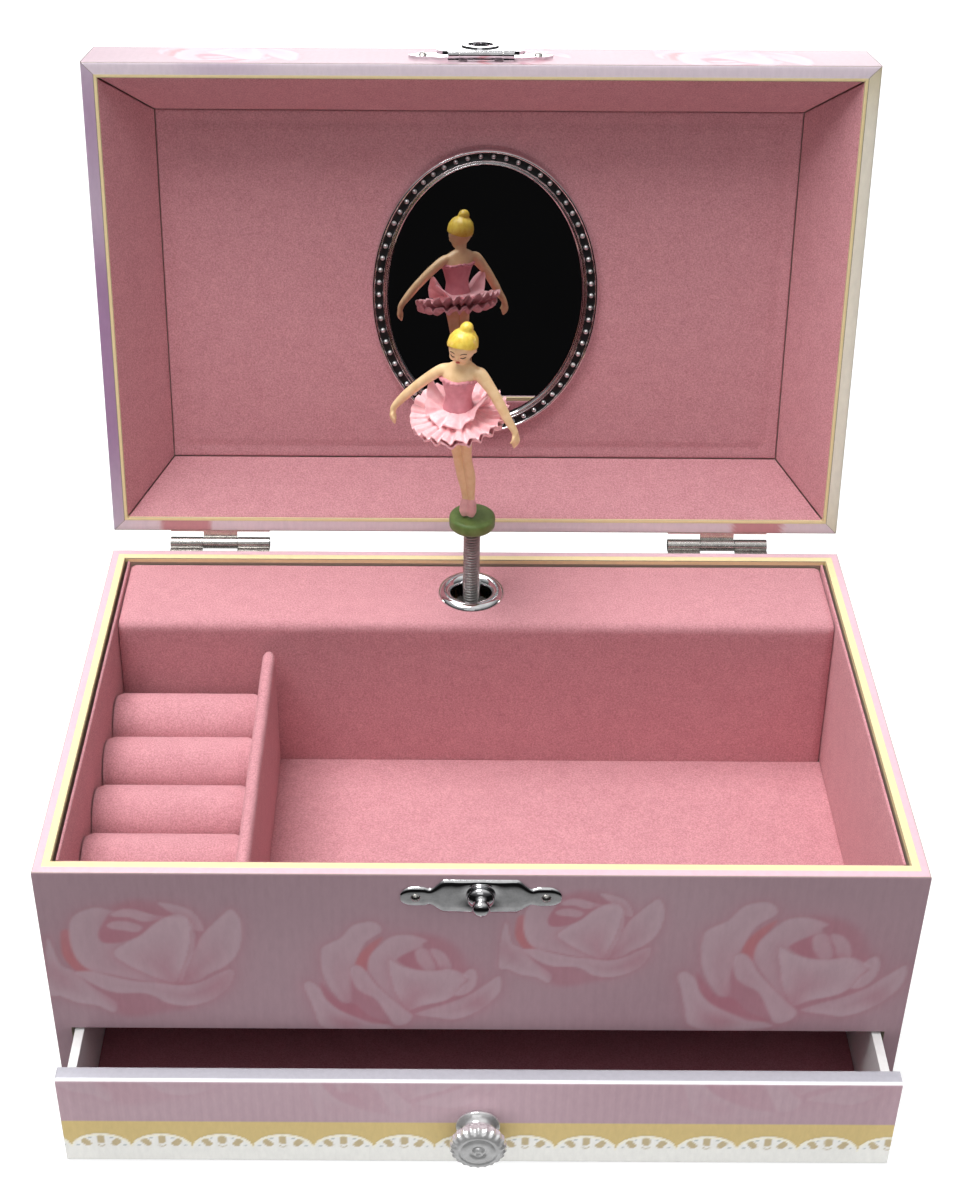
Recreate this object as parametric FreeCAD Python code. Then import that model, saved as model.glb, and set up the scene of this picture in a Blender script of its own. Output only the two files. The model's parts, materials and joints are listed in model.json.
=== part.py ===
import FreeCAD, Part
import math
import os

# Ballerina jewellery box: a paper-covered board box with a hinged mirror lid, a drawer,
# and a wind-up movement that turns a dancer on a spring.
# Millimetres. X to the right, Y to the back, Z up. The origin is the centre of the underside.
# The lid is open on its hinge stop and the drawer stands a little way out.

# ---- driving dimensions --------------------------------------------------------------
BASE_W = 190.0
BASE_D = 121.0
BASE_H = 75.0
WALL = 3.5
BOTTOM = 3.0
LINING = 1.2
LID_W = 189.7
LID_H = 20.0
LID_WALL = 3.6
LID_TOP = 2.0
LID_GAP = 0.2                   # between the base's rim and the closed lid's rim
LID_OPEN = 99.7                 # degrees from closed

SHELF_LOW = 28.4                # board over the drawer
SHELF_TOP = 31.0
FLOOR = 32.0                    # felt floor of the compartment
OPENING_TOP = 27.6              # lower edge of the front board, over the drawer

DRAWER_OUT = 11.0               # how far the drawer stands out
DRAWER_FRONT_W = 185.4
DRAWER_FRONT_LOW = 0.6
DRAWER_FRONT_TOP = 27.4
DRAWER_FRONT_T = 4.0
DRAWER_BODY_W = 181.4
DRAWER_BODY_D = 112.0
DRAWER_BODY_LOW = 3.4
DRAWER_BODY_TOP = 26.8
DRAWER_WALL = 2.0
DRAWER_FLOOR_T = 2.0
FELT = 0.8
KNOB_Z = 13.2
KNOB_RIBS = 20
SCREW_R = 1.5

PLATFORM_TOP = 73.0             # step over the movement
PLATFORM_T = 2.5
PLATFORM_LEAN = 3.5             # how far the step's front leans back
PLATFORM_FOLD_R = 5.0
PLATFORM_FRONT = 27.5           # Y of the foot of the step's front
GAP = 0.4

DIVIDER_X = -52.0
DIVIDER_T = 3.4
DIVIDER_TOP = 67.5
ROLL_PITCH = 17.25
ROLL_TOP = 59.5
ROLL_GAP = 0.5

LID_LINING_DEEP = 16.8          # depth of the lid's felt recess
LID_LINING_IN = 10.8            # how far its sides slope in
MIRROR_X = 2.0
MIRROR_Y = 0.7
MIRROR_A = 25.1                 # half width of the glass
MIRROR_B = 33.0                 # half height of the glass
MIRROR_FRAME_A = 29.2
MIRROR_FRAME_B = 37.75
MIRROR_FRAME_T = 2.8
MIRROR_T = 1.3

HINGE_LEFT_X = -67.2
HINGE_RIGHT_X = 63.8
HINGE_L = 26.0
HINGE_BACK = 3.57               # axis behind the back face
HINGE_R = 1.55
HINGE_PIN_R = 0.6
HINGE_LEAF = 0.6
HINGE_LEAF_H = 10.1
HINGE_LEAF_CLEAR = 0.6          # leaf edge above or below the axis
KNUCKLE_GAP = 0.2
HINGE_MIDDLE = 8.8              # length of the lid leaf's knuckle
RUN = 0.05                      # running clearance on a pin, radial

LATCH_Z = 69.0
LID_LATCH_UP = 7.7              # centre of the lid's plate above the lid's rim
LATCH_TALL = 9.7
LATCH_HALF_L = 17.4
LATCH_PLATE_T = 0.8
NAIL_X = 13.9                   # nails of the latch plates
NAIL_R = 0.45
HASP_RISE = 3.0                 # hasp pin above the lid's rim
HASP_OFF = 1.8                  # hasp pin in front of the front face
HASP_T = 0.9
HASP_LEN = 14.0
HASP_PIN_R = 0.5
HASP_HOLE_R = 3.2
HASP_RING_R = 4.6
LUG_X = 7.9                     # outer end of a lug that carries the hasp pin
LUG_L = 2.6

DANCER_X = -1.2
DANCER_Y = 45.0
DISC_LOW = 93.7
DISC_TOP = 97.0
DISC_R = 5.75
DANCER_YAW = -21.0
DANCER_LEAN = -4.4
FOOT_LIFT = 0.14                # so that the leaning foot clears the disc
SPRING_LOW = 66.0
SPRING_R = 2.15
SPRING_BORE = 1.35

# wind-up movement, in the space under the step
ARBOR_Z = 50.0                  # axis of the cylinder, along X, at Y = DANCER_Y
DRUM_PINS = 24
PINION_TEETH = 10
SPINDLE_PINS = 16
PIN_ARC = 2.2                   # distance between gear pins along their circle
GEAR_PIN_R = 0.4
WHEEL_TEETH = 30
FAN_TEETH = 8
MODULE = 0.6
PIN_LEN = 1.0
BEDPLATE_T = 1.5
CYL_LEFT = -31.0                # ends and radius of the pinned cylinder
CYL_RIGHT = -9.0
CYL_R = 5.5
ARBOR_END = -38.0
WHEEL_X = -34.0                 # wheel that drives the fan
WHEEL_T = 1.4
FAN_Y = DANCER_Y - 4.0
EAR_X = -2.0                    # bearing at the right of the cylinder
COMB_SCREW_Z = 36.2
COMB_TEETH = 16

# ---- worked out from them ------------------------------------------------------------
HX = BASE_W / 2.0
HY = BASE_D / 2.0
FRONT = -HY
BACK = HY
IN_X = HX - WALL
IN_Y = HY - WALL
LIN_X = IN_X - LINING
LIN_Y = IN_Y - LINING
RIM = BASE_H + LID_GAP          # lower edge of the closed lid
AXIS_Y = BACK + HINGE_BACK
AXIS_Z = RIM
LID_HX = LID_W / 2.0
DRAWER_BACK_FACE = FRONT - DRAWER_OUT
HASP_Y = FRONT - HASP_OFF
HASP_Z = RIM + HASP_RISE
DRUM_R_PINS = DRUM_PINS * PIN_ARC / (2.0 * math.pi)
PINION_R = PINION_TEETH * PIN_ARC / (2.0 * math.pi)
SPINDLE_R_PINS = SPINDLE_PINS * PIN_ARC / (2.0 * math.pi)
PINION_X = DANCER_X + SPINDLE_R_PINS + 1.6
DRUM_X = PINION_X + DRUM_R_PINS + 1.0
WHEEL_R = WHEEL_TEETH * MODULE / 2.0
FAN_R = FAN_TEETH * MODULE / 2.0
FAN_Z = ARBOR_Z + math.sqrt((WHEEL_R + FAN_R) ** 2 - (DANCER_Y - FAN_Y) ** 2)

V = FreeCAD.Vector
X_AXIS = V(1, 0, 0)
Y_AXIS = V(0, 1, 0)
Z_AXIS = V(0, 0, 1)


# ---- helpers -------------------------------------------------------------------------
def box(x0, x1, y0, y1, z0, z1):
    return Part.makeBox(x1 - x0, y1 - y0, z1 - z0, V(x0, y0, z0))


def cylinder(start, direction, radius, length):
    return Part.makeCylinder(radius, length, start, direction)


def prism_z(points, low, high):
    """Straight prism on an outline in X and Y."""
    corners = [V(x, y, low) for x, y in points]
    face = Part.Face(Part.makePolygon(corners + corners[:1]))
    return face.extrude(V(0, 0, high - low))


def prism_x(points, low, high):
    """Straight prism on an outline in Y and Z."""
    corners = [V(low, y, z) for y, z in points]
    face = Part.Face(Part.makePolygon(corners + corners[:1]))
    return face.extrude(V(high - low, 0, 0))


def prism_y(points, low, high):
    """Straight prism on an outline in X and Z."""
    corners = [V(x, low, z) for x, z in points]
    face = Part.Face(Part.makePolygon(corners + corners[:1]))
    return face.extrude(V(0, high - low, 0))


def lathe(profile, x=0.0, y=0.0, z=0.0):
    """Solid turned about a Z axis from (radius, height) points."""
    corners = [V(radius, 0, height) for radius, height in profile]
    face = Part.Face(Part.makePolygon(corners + corners[:1]))
    solid = face.revolve(V(0, 0, 0), Z_AXIS, 360)
    solid.translate(V(x, y, z))
    return solid


def oval(x, y, half_x, half_y, low, high):
    """Elliptical prism along Z."""
    major, minor, turn = (half_x, half_y, 0) if half_x > half_y else (half_y, half_x, 90)
    curve = Part.Ellipse(V(0, 0, 0), major, minor)
    face = Part.Face(Part.Wire(curve.toShape()))
    solid = face.extrude(V(0, 0, high - low))
    solid.rotate(V(0, 0, 0), Z_AXIS, turn)
    solid.translate(V(x, y, low))
    return solid


def fuse(shapes):
    return shapes[0].fuse(shapes[1:]).removeSplitter()


def wedge(section, start, end, run):
    """Four-sided bar between two mitred ends.

    section holds (across, z) points; start and end map a point to its place along the bar."""
    first = [run(start(across), across, z) for across, z in section]
    last = [run(end(across), across, z) for across, z in section]
    faces = [Part.Face(Part.makePolygon(first + first[:1])), Part.Face(Part.makePolygon(last + last[:1]))]
    for i in range(len(section)):
        j = (i + 1) % len(section)
        side = [first[i], first[j], last[j], last[i], first[i]]
        faces.append(Part.Face(Part.makePolygon(side)))
    solid = Part.Solid(Part.Shell(faces))
    if solid.Volume < 0:
        solid.reverse()
    return solid


def opened(shape):
    """Swing a shape made on the closed lid to where it stands open."""
    turned = shape.copy()
    turned.rotate(V(0, AXIS_Y, AXIS_Z), X_AXIS, -LID_OPEN)
    return turned


def save(name, shape):
    solids = shape.Solids
    assert solids and all(s.isValid() and s.Volume > 0 for s in solids), name
    shape.exportStep("parts/" + name + ".step")
    print("%-26s %d solid(s) %10.1f mm3" % (name, len(solids), shape.Volume))


def group(shapes):
    return Part.makeCompound(shapes)


# ---- base ----------------------------------------------------------------------------
def base_boards():
    save("base_bottom_board", box(-HX, HX, FRONT, BACK, 0, BOTTOM))

    front = prism_z([(-HX, FRONT), (HX, FRONT), (IN_X, -IN_Y), (-IN_X, -IN_Y)], OPENING_TOP, BASE_H)
    save("base_front_board", front)

    back = prism_z([(-HX, BACK), (HX, BACK), (IN_X, IN_Y), (-IN_X, IN_Y)], BOTTOM, BASE_H)
    key_hole = cylinder(V(DRUM_X, IN_Y - 1, ARBOR_Z), Y_AXIS, 3.2, WALL + 2)
    save("base_back_board", back.cut(key_hole))

    for name, side in (("base_left_board", -1), ("base_right_board", 1)):
        upper = prism_z([(side * HX, FRONT), (side * HX, BACK), (side * IN_X, IN_Y), (side * IN_X, -IN_Y)],
                        OPENING_TOP, BASE_H)
        lower = prism_z([(side * HX, FRONT), (side * HX, BACK), (side * IN_X, IN_Y), (side * IN_X, FRONT)],
                        BOTTOM, OPENING_TOP)
        save(name, fuse([upper, lower]))

    save("compartment_shelf", box(-IN_X, IN_X, -IN_Y, IN_Y, SHELF_LOW, SHELF_TOP))


def linings():
    top = BASE_H - 0.6
    save("compartment_floor_lining", box(-LIN_X, LIN_X, -LIN_Y, PLATFORM_FRONT, SHELF_TOP, FLOOR))
    save("front_lining", box(-IN_X, IN_X, -IN_Y, -LIN_Y, SHELF_TOP, top))
    save("left_lining", box(-IN_X, -LIN_X, -LIN_Y, IN_Y, SHELF_TOP, top))
    save("right_lining", box(LIN_X, IN_X, -LIN_Y, IN_Y, SHELF_TOP, top))


def rear_platform():
    half = LIN_X - GAP
    foot = PLATFORM_FRONT
    head = PLATFORM_FRONT + PLATFORM_LEAN
    back = IN_Y - GAP
    outline = [(foot, FLOOR), (head, PLATFORM_TOP), (back, PLATFORM_TOP), (back, PLATFORM_TOP - PLATFORM_T),
               (head + PLATFORM_T, PLATFORM_TOP - PLATFORM_T), (foot + PLATFORM_T, SHELF_TOP), (foot, SHELF_TOP)]
    body = prism_x(outline, -half, half)
    fold = [e for e in body.Edges
            if abs(e.CenterOfMass.y - head) < 0.01 and abs(e.CenterOfMass.z - PLATFORM_TOP) < 0.01]
    body = body.makeFillet(PLATFORM_FOLD_R, fold)
    hole = cylinder(V(DANCER_X, DANCER_Y, PLATFORM_TOP - 5), Z_AXIS, 7.0, 10)
    save("rear_platform", body.cut(hole))


def grommet():
    low = -4.0
    profile = [(4.9, low), (6.9, low), (6.9, 0.0), (8.6, 0.0), (8.6, 0.35), (8.1, 1.0), (7.0, 1.45),
               (6.2, 1.3), (5.4, 0.6), (4.9, -0.4)]
    save("grommet", lathe(profile, DANCER_X, DANCER_Y, PLATFORM_TOP))


def divider():
    half = DIVIDER_T / 2.0
    low = FLOOR
    shoulder = DIVIDER_TOP - half
    slab = box(DIVIDER_X - half, DIVIDER_X + half, -LIN_Y, PLATFORM_FRONT, low, shoulder)
    cap = cylinder(V(DIVIDER_X, -LIN_Y, shoulder), Y_AXIS, half, PLATFORM_FRONT + LIN_Y)
    save("divider", fuse([slab, cap]))


def ring_rolls():
    left = -LIN_X + ROLL_GAP
    right = DIVIDER_X - DIVIDER_T / 2.0 - ROLL_GAP
    rolls = []
    back = PLATFORM_FRONT - 2.0
    while back > -LIN_Y + 4:
        front = max(back - ROLL_PITCH + ROLL_GAP, -LIN_Y + ROLL_GAP)
        radius = (back - front) / 2.0
        middle = (back + front) / 2.0
        shoulder = ROLL_TOP - radius
        slab = box(left, right, front, back, FLOOR, shoulder)
        crown = cylinder(V(left, middle, shoulder), X_AXIS, radius, right - left)
        rolls.append(fuse([slab, crown]))
        back -= ROLL_PITCH
    save("ring_rolls", group(rolls))


# ---- hinges --------------------------------------------------------------------------
def hinge_leaf(x, spans, up):
    """Leaf with its knuckles; up is 1 on the lid and -1 on the base."""
    near = AXIS_Z + up * HINGE_LEAF_CLEAR
    far = near + up * HINGE_LEAF_H
    shapes = [box(x - HINGE_L / 2, x + HINGE_L / 2, BACK, BACK + HINGE_LEAF, min(near, far), max(near, far))]
    for start, end in spans:
        shapes.append(cylinder(V(x + start, AXIS_Y, AXIS_Z), X_AXIS, HINGE_R, end - start))
        shapes.append(box(x + start, x + end, BACK, AXIS_Y,
                          min(near, near + up * HINGE_LEAF), max(near, near + up * HINGE_LEAF)))
    leaf = fuse(shapes)
    bore = HINGE_PIN_R + (RUN if up > 0 else 0.0)
    return leaf.cut(cylinder(V(x - HINGE_L, AXIS_Y, AXIS_Z), X_AXIS, bore, 2 * HINGE_L))


def nail(place, direction, head_r=1.2):
    """Domed nail head on a short shank that ends in the board."""
    shank = cylinder(place, direction * -1, NAIL_R, 2.4)
    dome = Part.makeSphere(head_r, place - direction * (head_r * 0.45))
    dome = dome.common(cylinder(place, direction, head_r, head_r))
    return fuse([dome, shank])


def hinge_sides():
    half = HINGE_L / 2.0
    middle = HINGE_MIDDLE / 2.0
    outer = [(-half, -middle - KNUCKLE_GAP), (middle + KNUCKLE_GAP, half)]
    inner = [(-middle, middle)]
    return outer, inner


def hinges():
    outer, inner = hinge_sides()
    pins = []
    for name, x in (("left", HINGE_LEFT_X), ("right", HINGE_RIGHT_X)):
        base_leaf = hinge_leaf(x, outer, -1)
        lid_leaf = hinge_leaf(x, inner, 1)
        for place in nail_places(x):
            shank = cylinder(V(place[0], BACK - 1, AXIS_Z - place[1]), Y_AXIS, NAIL_R, 3)
            base_leaf = base_leaf.cut(shank)
            shank = cylinder(V(place[0], BACK - 1, AXIS_Z + place[1]), Y_AXIS, NAIL_R, 3)
            lid_leaf = lid_leaf.cut(shank)
        save("hinge_%s_base_leaf" % name, base_leaf)
        save("hinge_%s_lid_leaf" % name, opened(lid_leaf))
        pins.append(cylinder(V(x - HINGE_L / 2, AXIS_Y, AXIS_Z), X_AXIS, HINGE_PIN_R, HINGE_L))
    save("hinge_pins", group(pins))


def nail_places(x):
    """(x, height from the axis) of the three nails in a leaf."""
    return [(x - 9.0, 4.2), (x + 9.0, 4.2), (x, 7.6)]


# ---- latch ---------------------------------------------------------------------------
def latch_outline(centre_z, tall):
    """Plate outline in X and Z: pointed oval ends and an arched middle."""
    half = LATCH_HALF_L
    rise = tall / 2.0
    right = [(half, 0.0), (half - 2.2, 2.0), (half - 5.4, 2.3), (half - 7.6, 3.3), (5.2, 3.1), (3.2, rise)]
    left = [(-x, z) for x, z in reversed(right)]
    upper = right + left
    lower = [(x, -z) for x, z in reversed(upper[1:-1])]
    return [(x, centre_z + z) for x, z in upper + lower]


def latch_plate(centre_z, holes):
    plate = prism_y(latch_outline(centre_z, LATCH_TALL), FRONT - LATCH_PLATE_T, FRONT)
    for x, radius in holes:
        plate = plate.cut(cylinder(V(x, FRONT - 2, centre_z), Y_AXIS, radius, 3))
    return plate


def base_latch():
    plate = latch_plate(LATCH_Z, [(-NAIL_X, NAIL_R), (NAIL_X, NAIL_R), (0.0, 0.8)])
    save("base_latch_plate", plate)
    face = LATCH_PLATE_T
    profile = [(0.0, -2.0), (0.8, -2.0), (0.8, face), (2.7, face), (2.4, face + 0.9), (1.4, face + 1.2),
               (1.2, face + 1.9), (1.9, face + 2.4), (2.1, face + 3.1), (1.7, face + 3.9), (0.0, face + 4.3)]
    stud = lathe(profile)
    stud.rotate(V(0, 0, 0), X_AXIS, 90)
    stud.translate(V(0, FRONT, LATCH_Z))
    save("latch_stud", stud)


def lid_latch():
    centre = RIM + LID_LATCH_UP
    plate = latch_plate(centre, [(-NAIL_X, NAIL_R), (NAIL_X, NAIL_R)])
    lugs = []
    for x in (-LUG_X, LUG_X - LUG_L):
        lug = cylinder(V(x, HASP_Y, HASP_Z), X_AXIS, 1.0, LUG_L)
        foot = box(x, x + LUG_L, HASP_Y, FRONT, HASP_Z - 0.4, HASP_Z + 0.8)
        foot = foot.fuse(box(x, x + LUG_L, FRONT - LATCH_PLATE_T, FRONT, HASP_Z - 0.4, HASP_Z + 2.4))
        lugs.append(fuse([lug, foot]))
    bore = cylinder(V(-9, HASP_Y, HASP_Z), X_AXIS, HASP_PIN_R, 18)
    save("lid_latch_plate", opened(fuse([plate] + lugs).cut(bore)))
    save("hasp_pin", opened(cylinder(V(-LUG_X, HASP_Y, HASP_Z), X_AXIS, HASP_PIN_R, 2 * LUG_X)))

    barrel = cylinder(V(-5.1, HASP_Y, HASP_Z), X_AXIS, 0.95, 10.2)
    outline = [(-4.4, 0.0), (4.4, 0.0), (4.4, 1.7), (9.2, 1.9), (10.6, 3.2), (9.4, 5.2), (6.4, 6.4), (6.0, 9.6),
               (4.4, 12.4), (1.8, HASP_LEN), (-1.8, HASP_LEN), (-4.4, 12.4), (-6.0, 9.6), (-6.4, 6.4),
               (-9.4, 5.2), (-10.6, 3.2), (-9.2, 1.9), (-4.4, 1.7)]
    tongue = prism_y([(x, HASP_Z + z) for x, z in outline], HASP_Y - HASP_T / 2, HASP_Y + HASP_T / 2)
    reach = HASP_Z - LATCH_Z
    middle = V(0, HASP_Y, HASP_Z + reach)
    ring = cylinder(middle + V(0, 0.8, 0), V(0, -1, 0), HASP_RING_R, 1.6)
    hole = cylinder(middle + V(0, 3, 0), V(0, -1, 0), HASP_HOLE_R, 6)
    bore = cylinder(V(-9, HASP_Y, HASP_Z), X_AXIS, HASP_PIN_R + RUN, 18)
    save("hasp", opened(fuse([barrel, tongue, ring]).cut(hole).cut(bore)))


def nails():
    front = V(0, -1, 0)
    rear = V(0, 1, 0)
    base = [nail(V(x, FRONT - LATCH_PLATE_T, LATCH_Z), front) for x in (-NAIL_X, NAIL_X)]
    lid = [nail(V(x, FRONT - LATCH_PLATE_T, RIM + LID_LATCH_UP), front) for x in (-NAIL_X, NAIL_X)]
    for x in (HINGE_LEFT_X, HINGE_RIGHT_X):
        for across, height in nail_places(x):
            base.append(nail(V(across, BACK + HINGE_LEAF, AXIS_Z - height), rear, 1.0))
            lid.append(nail(V(across, BACK + HINGE_LEAF, AXIS_Z + height), rear, 1.0))
    save("base_nails", group(base))
    save("lid_nails", group([opened(n) for n in lid]))


# ---- lid, made closed and then swung open --------------------------------------------
def lid_boards():
    inner_x = LID_HX - LID_WALL
    inner_y = HY - LID_WALL
    top = RIM + LID_H
    under = top - LID_TOP
    save("lid_top_board", opened(box(-LID_HX, LID_HX, FRONT, BACK, under, top)))
    front = prism_z([(-LID_HX, FRONT), (LID_HX, FRONT), (inner_x, -inner_y), (-inner_x, -inner_y)], RIM, under)
    save("lid_front_board", opened(front))
    back = prism_z([(-LID_HX, BACK), (LID_HX, BACK), (inner_x, inner_y), (-inner_x, inner_y)], RIM, under)
    save("lid_back_board", opened(back))
    for name, side in (("lid_left_board", -1), ("lid_right_board", 1)):
        board = prism_z([(side * LID_HX, FRONT), (side * LID_HX, BACK),
                         (side * inner_x, inner_y), (side * inner_x, -inner_y)], RIM, under)
        save(name, opened(board))


def lid_linings():
    inner_x = LID_HX - LID_WALL
    inner_y = HY - LID_WALL
    lip = 0.3
    deep = RIM + LID_LINING_DEEP
    slope = LID_LINING_IN / (LID_LINING_DEEP - lip)
    across = LINING * math.hypot(1.0, slope)
    section = [(0.0, RIM + lip), (LID_LINING_IN, deep), (LID_LINING_IN - across, deep),
               (0.0, RIM + lip + across / slope)]
    low_x, high_x = (lambda inset: -inner_x + inset), (lambda inset: inner_x - inset)
    low_y, high_y = (lambda inset: -inner_y + inset), (lambda inset: inner_y - inset)
    front = wedge(section, low_x, high_x, lambda along, inset, z: V(along, -inner_y + inset, z))
    back = wedge(section, low_x, high_x, lambda along, inset, z: V(along, inner_y - inset, z))
    left = wedge(section, low_y, high_y, lambda along, inset, z: V(-inner_x + inset, along, z))
    right = wedge(section, low_y, high_y, lambda along, inset, z: V(inner_x - inset, along, z))
    save("lid_front_lining", opened(front))
    save("lid_back_lining", opened(back))
    save("lid_left_lining", opened(left))
    save("lid_right_lining", opened(right))
    panel = box(-inner_x + LID_LINING_IN - across, inner_x - LID_LINING_IN + across,
                -inner_y + LID_LINING_IN - across, inner_y - LID_LINING_IN + across, deep, RIM + LID_H - LID_TOP)
    save("lid_panel_lining", opened(panel))


def mirror():
    deep = RIM + LID_LINING_DEEP
    glass = oval(MIRROR_X, MIRROR_Y, MIRROR_A - 0.1, MIRROR_B - 0.1, deep - MIRROR_T, deep)
    save("mirror_glass", opened(glass))
    outer = oval(MIRROR_X, MIRROR_Y, MIRROR_FRAME_A, MIRROR_FRAME_B, deep - MIRROR_FRAME_T, deep)
    hole = oval(MIRROR_X, MIRROR_Y, MIRROR_A, MIRROR_B, deep - MIRROR_FRAME_T - 1, deep + 1)
    save("mirror_frame", opened(outer.cut(hole)))


# ---- drawer --------------------------------------------------------------------------
def drawer():
    face = DRAWER_BACK_FACE
    half = DRAWER_BODY_W / 2.0
    inner = half - DRAWER_WALL
    rear = face + DRAWER_BODY_D
    front = box(-DRAWER_FRONT_W / 2, DRAWER_FRONT_W / 2, face - DRAWER_FRONT_T, face,
                DRAWER_FRONT_LOW, DRAWER_FRONT_TOP)
    screw_hole = cylinder(V(0, face - DRAWER_FRONT_T - 1, KNOB_Z), Y_AXIS, SCREW_R, DRAWER_FRONT_T + 2)
    save("drawer_front", front.cut(screw_hole))
    save("drawer_left_side", box(-half, -inner, face, rear, DRAWER_BODY_LOW, DRAWER_BODY_TOP))
    save("drawer_right_side", box(inner, half, face, rear, DRAWER_BODY_LOW, DRAWER_BODY_TOP))
    save("drawer_back", box(-inner, inner, rear - DRAWER_WALL, rear, DRAWER_BODY_LOW, DRAWER_BODY_TOP))
    floor = DRAWER_BODY_LOW + DRAWER_FLOOR_T
    save("drawer_bottom", box(-inner, inner, face, rear - DRAWER_WALL, DRAWER_BODY_LOW, floor))
    save("drawer_felt", box(-inner, inner, face, rear - DRAWER_WALL, floor, floor + FELT))


def knob():
    """Turned knob with a ribbed rim, on a screw through the drawer front."""
    profile = [(0.0, 0.0), (4.9, 0.0), (4.9, 0.7), (4.0, 1.3), (3.5, 2.3), (3.9, 3.4), (5.4, 4.2), (6.0, 4.8),
               (6.0, 6.6), (5.2, 7.3), (3.6, 7.3), (3.2, 6.9), (1.5, 7.1), (1.2, 7.8), (0.0, 8.0)]
    body = lathe(profile)
    cutters = []
    for i in range(KNOB_RIBS):
        angle = 2.0 * math.pi * i / KNOB_RIBS
        rib = cylinder(V(6.1 * math.cos(angle), 6.1 * math.sin(angle), 4.3), Z_AXIS, 0.55, 2.8)
        cutters.append(rib)
    body = body.cut(cutters).cut(cylinder(V(0, 0, -1), Z_AXIS, SCREW_R, 6))
    body.rotate(V(0, 0, 0), X_AXIS, 90)
    body.translate(V(0, DRAWER_BACK_FACE - DRAWER_FRONT_T, KNOB_Z))
    save("drawer_knob", body)
    start = DRAWER_BACK_FACE - DRAWER_FRONT_T - 5.0
    shank = cylinder(V(0, start, KNOB_Z), Y_AXIS, SCREW_R, DRAWER_FRONT_T + 5.0)
    head = cylinder(V(0, DRAWER_BACK_FACE, KNOB_Z), Y_AXIS, 3.2, 1.6)
    slot = box(-3.5, 3.5, DRAWER_BACK_FACE + 0.9, DRAWER_BACK_FACE + 3, KNOB_Z - 0.4, KNOB_Z + 0.4)
    save("knob_screw", fuse([shank, head]).cut(slot))


# ---- dancer --------------------------------------------------------------------------
def posed(shape):
    """Turn and lean a shape made upright at the origin, and stand it on the disc."""
    placed = shape.copy()
    placed.rotate(V(0, 0, 0), Z_AXIS, DANCER_YAW)
    placed.rotate(V(0, 0, 0), Y_AXIS, DANCER_LEAN)
    placed.translate(V(DANCER_X, DANCER_Y, DISC_TOP + FOOT_LIFT))
    return placed


def limb(points, radii):
    """Round limb through points, one radius at each."""
    shapes = []
    for i in range(len(points) - 1):
        start, end = points[i], points[i + 1]
        along = end - start
        shapes.append(Part.makeCone(radii[i], radii[i + 1], along.Length, start, along))
        shapes.append(Part.makeSphere(radii[i + 1], end))
    return shapes


def dancer():
    ribs = 32
    low, high = SPRING_LOW, DISC_LOW
    pitch = (high - low) / ribs
    outer = []
    for i in range(ribs):
        outer.append((1.8, low + i * pitch))
        outer.append((SPRING_R, low + (i + 0.5) * pitch))
    profile = [(SPRING_BORE, low)] + outer + [(1.8, high), (SPRING_BORE, high)]
    save("ballerina_spring", lathe(profile, DANCER_X, DANCER_Y))

    disc = [(0.0, DISC_LOW), (DISC_R - 0.6, DISC_LOW), (DISC_R, DISC_LOW + 0.6), (DISC_R, DISC_TOP - 0.6),
            (DISC_R - 0.6, DISC_TOP), (0.0, DISC_TOP)]
    save("ballerina_disc", lathe(disc, DANCER_X, DANCER_Y))

    body = lathe([(0.0, 0.0), (1.7, 0.0), (1.8, 2.0), (1.6, 5.0), (2.5, 11.0), (2.2, 16.0), (3.3, 23.0),
                  (4.1, 27.5), (3.9, 29.0), (2.8, 33.0), (3.6, 38.0), (3.4, 40.2), (1.5, 41.6), (1.4, 43.6),
                  (0.0, 43.6)])
    head = Part.makeSphere(4.2, V(0, -0.6, 47.0))
    bun = Part.makeSphere(2.0, V(0, 0.9, 52.0))
    shapes = [body, head, bun]
    for side in (-1, 1):
        points = [V(side * 3.0, 0, 39.4), V(side * 6.4, 0, 38.4), V(side * 10.6, 0, 33.2),
                  V(side * 14.4, 0, 28.4), V(side * 15.6, 0, 24.2)]
        shapes += limb(points, [1.5, 1.6, 1.3, 1.0, 0.9])
    save("ballerina_figure", posed(fuse(shapes)))

    tutu = lathe([(4.5, 28.4), (6.0, 27.2), (9.0, 26.0), (11.2, 26.6), (11.6, 27.6), (10.6, 28.4),
                  (8.0, 28.6), (5.2, 29.6), (4.3, 30.0)])
    save("ballerina_tutu", posed(tutu))


# ---- movement ------------------------------------------------------------------------
def toothed(teeth, pitch_radius, depth, thick, start, width):
    """Wheel about an X axis with plain narrow teeth, for gears that run with wide backlash."""
    root = pitch_radius - depth
    tip = pitch_radius + depth
    shapes = [cylinder(V(start, 0, 0), X_AXIS, root, width)]
    for i in range(teeth):
        tooth = box(start, start + width, -thick / 2, thick / 2, root - 0.4, tip)
        tooth.rotate(V(0, 0, 0), X_AXIS, 360.0 * i / teeth)
        shapes.append(tooth)
    return fuse(shapes)


def crown(pins, radius, pin_low, pin_high):
    """Ring of gear pins about a Z axis."""
    shapes = []
    for i in range(pins):
        angle = 2.0 * math.pi * i / pins
        place = V(radius * math.cos(angle), radius * math.sin(angle), pin_low)
        shapes.append(cylinder(place, Z_AXIS, GEAR_PIN_R, pin_high - pin_low))
    return shapes


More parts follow.
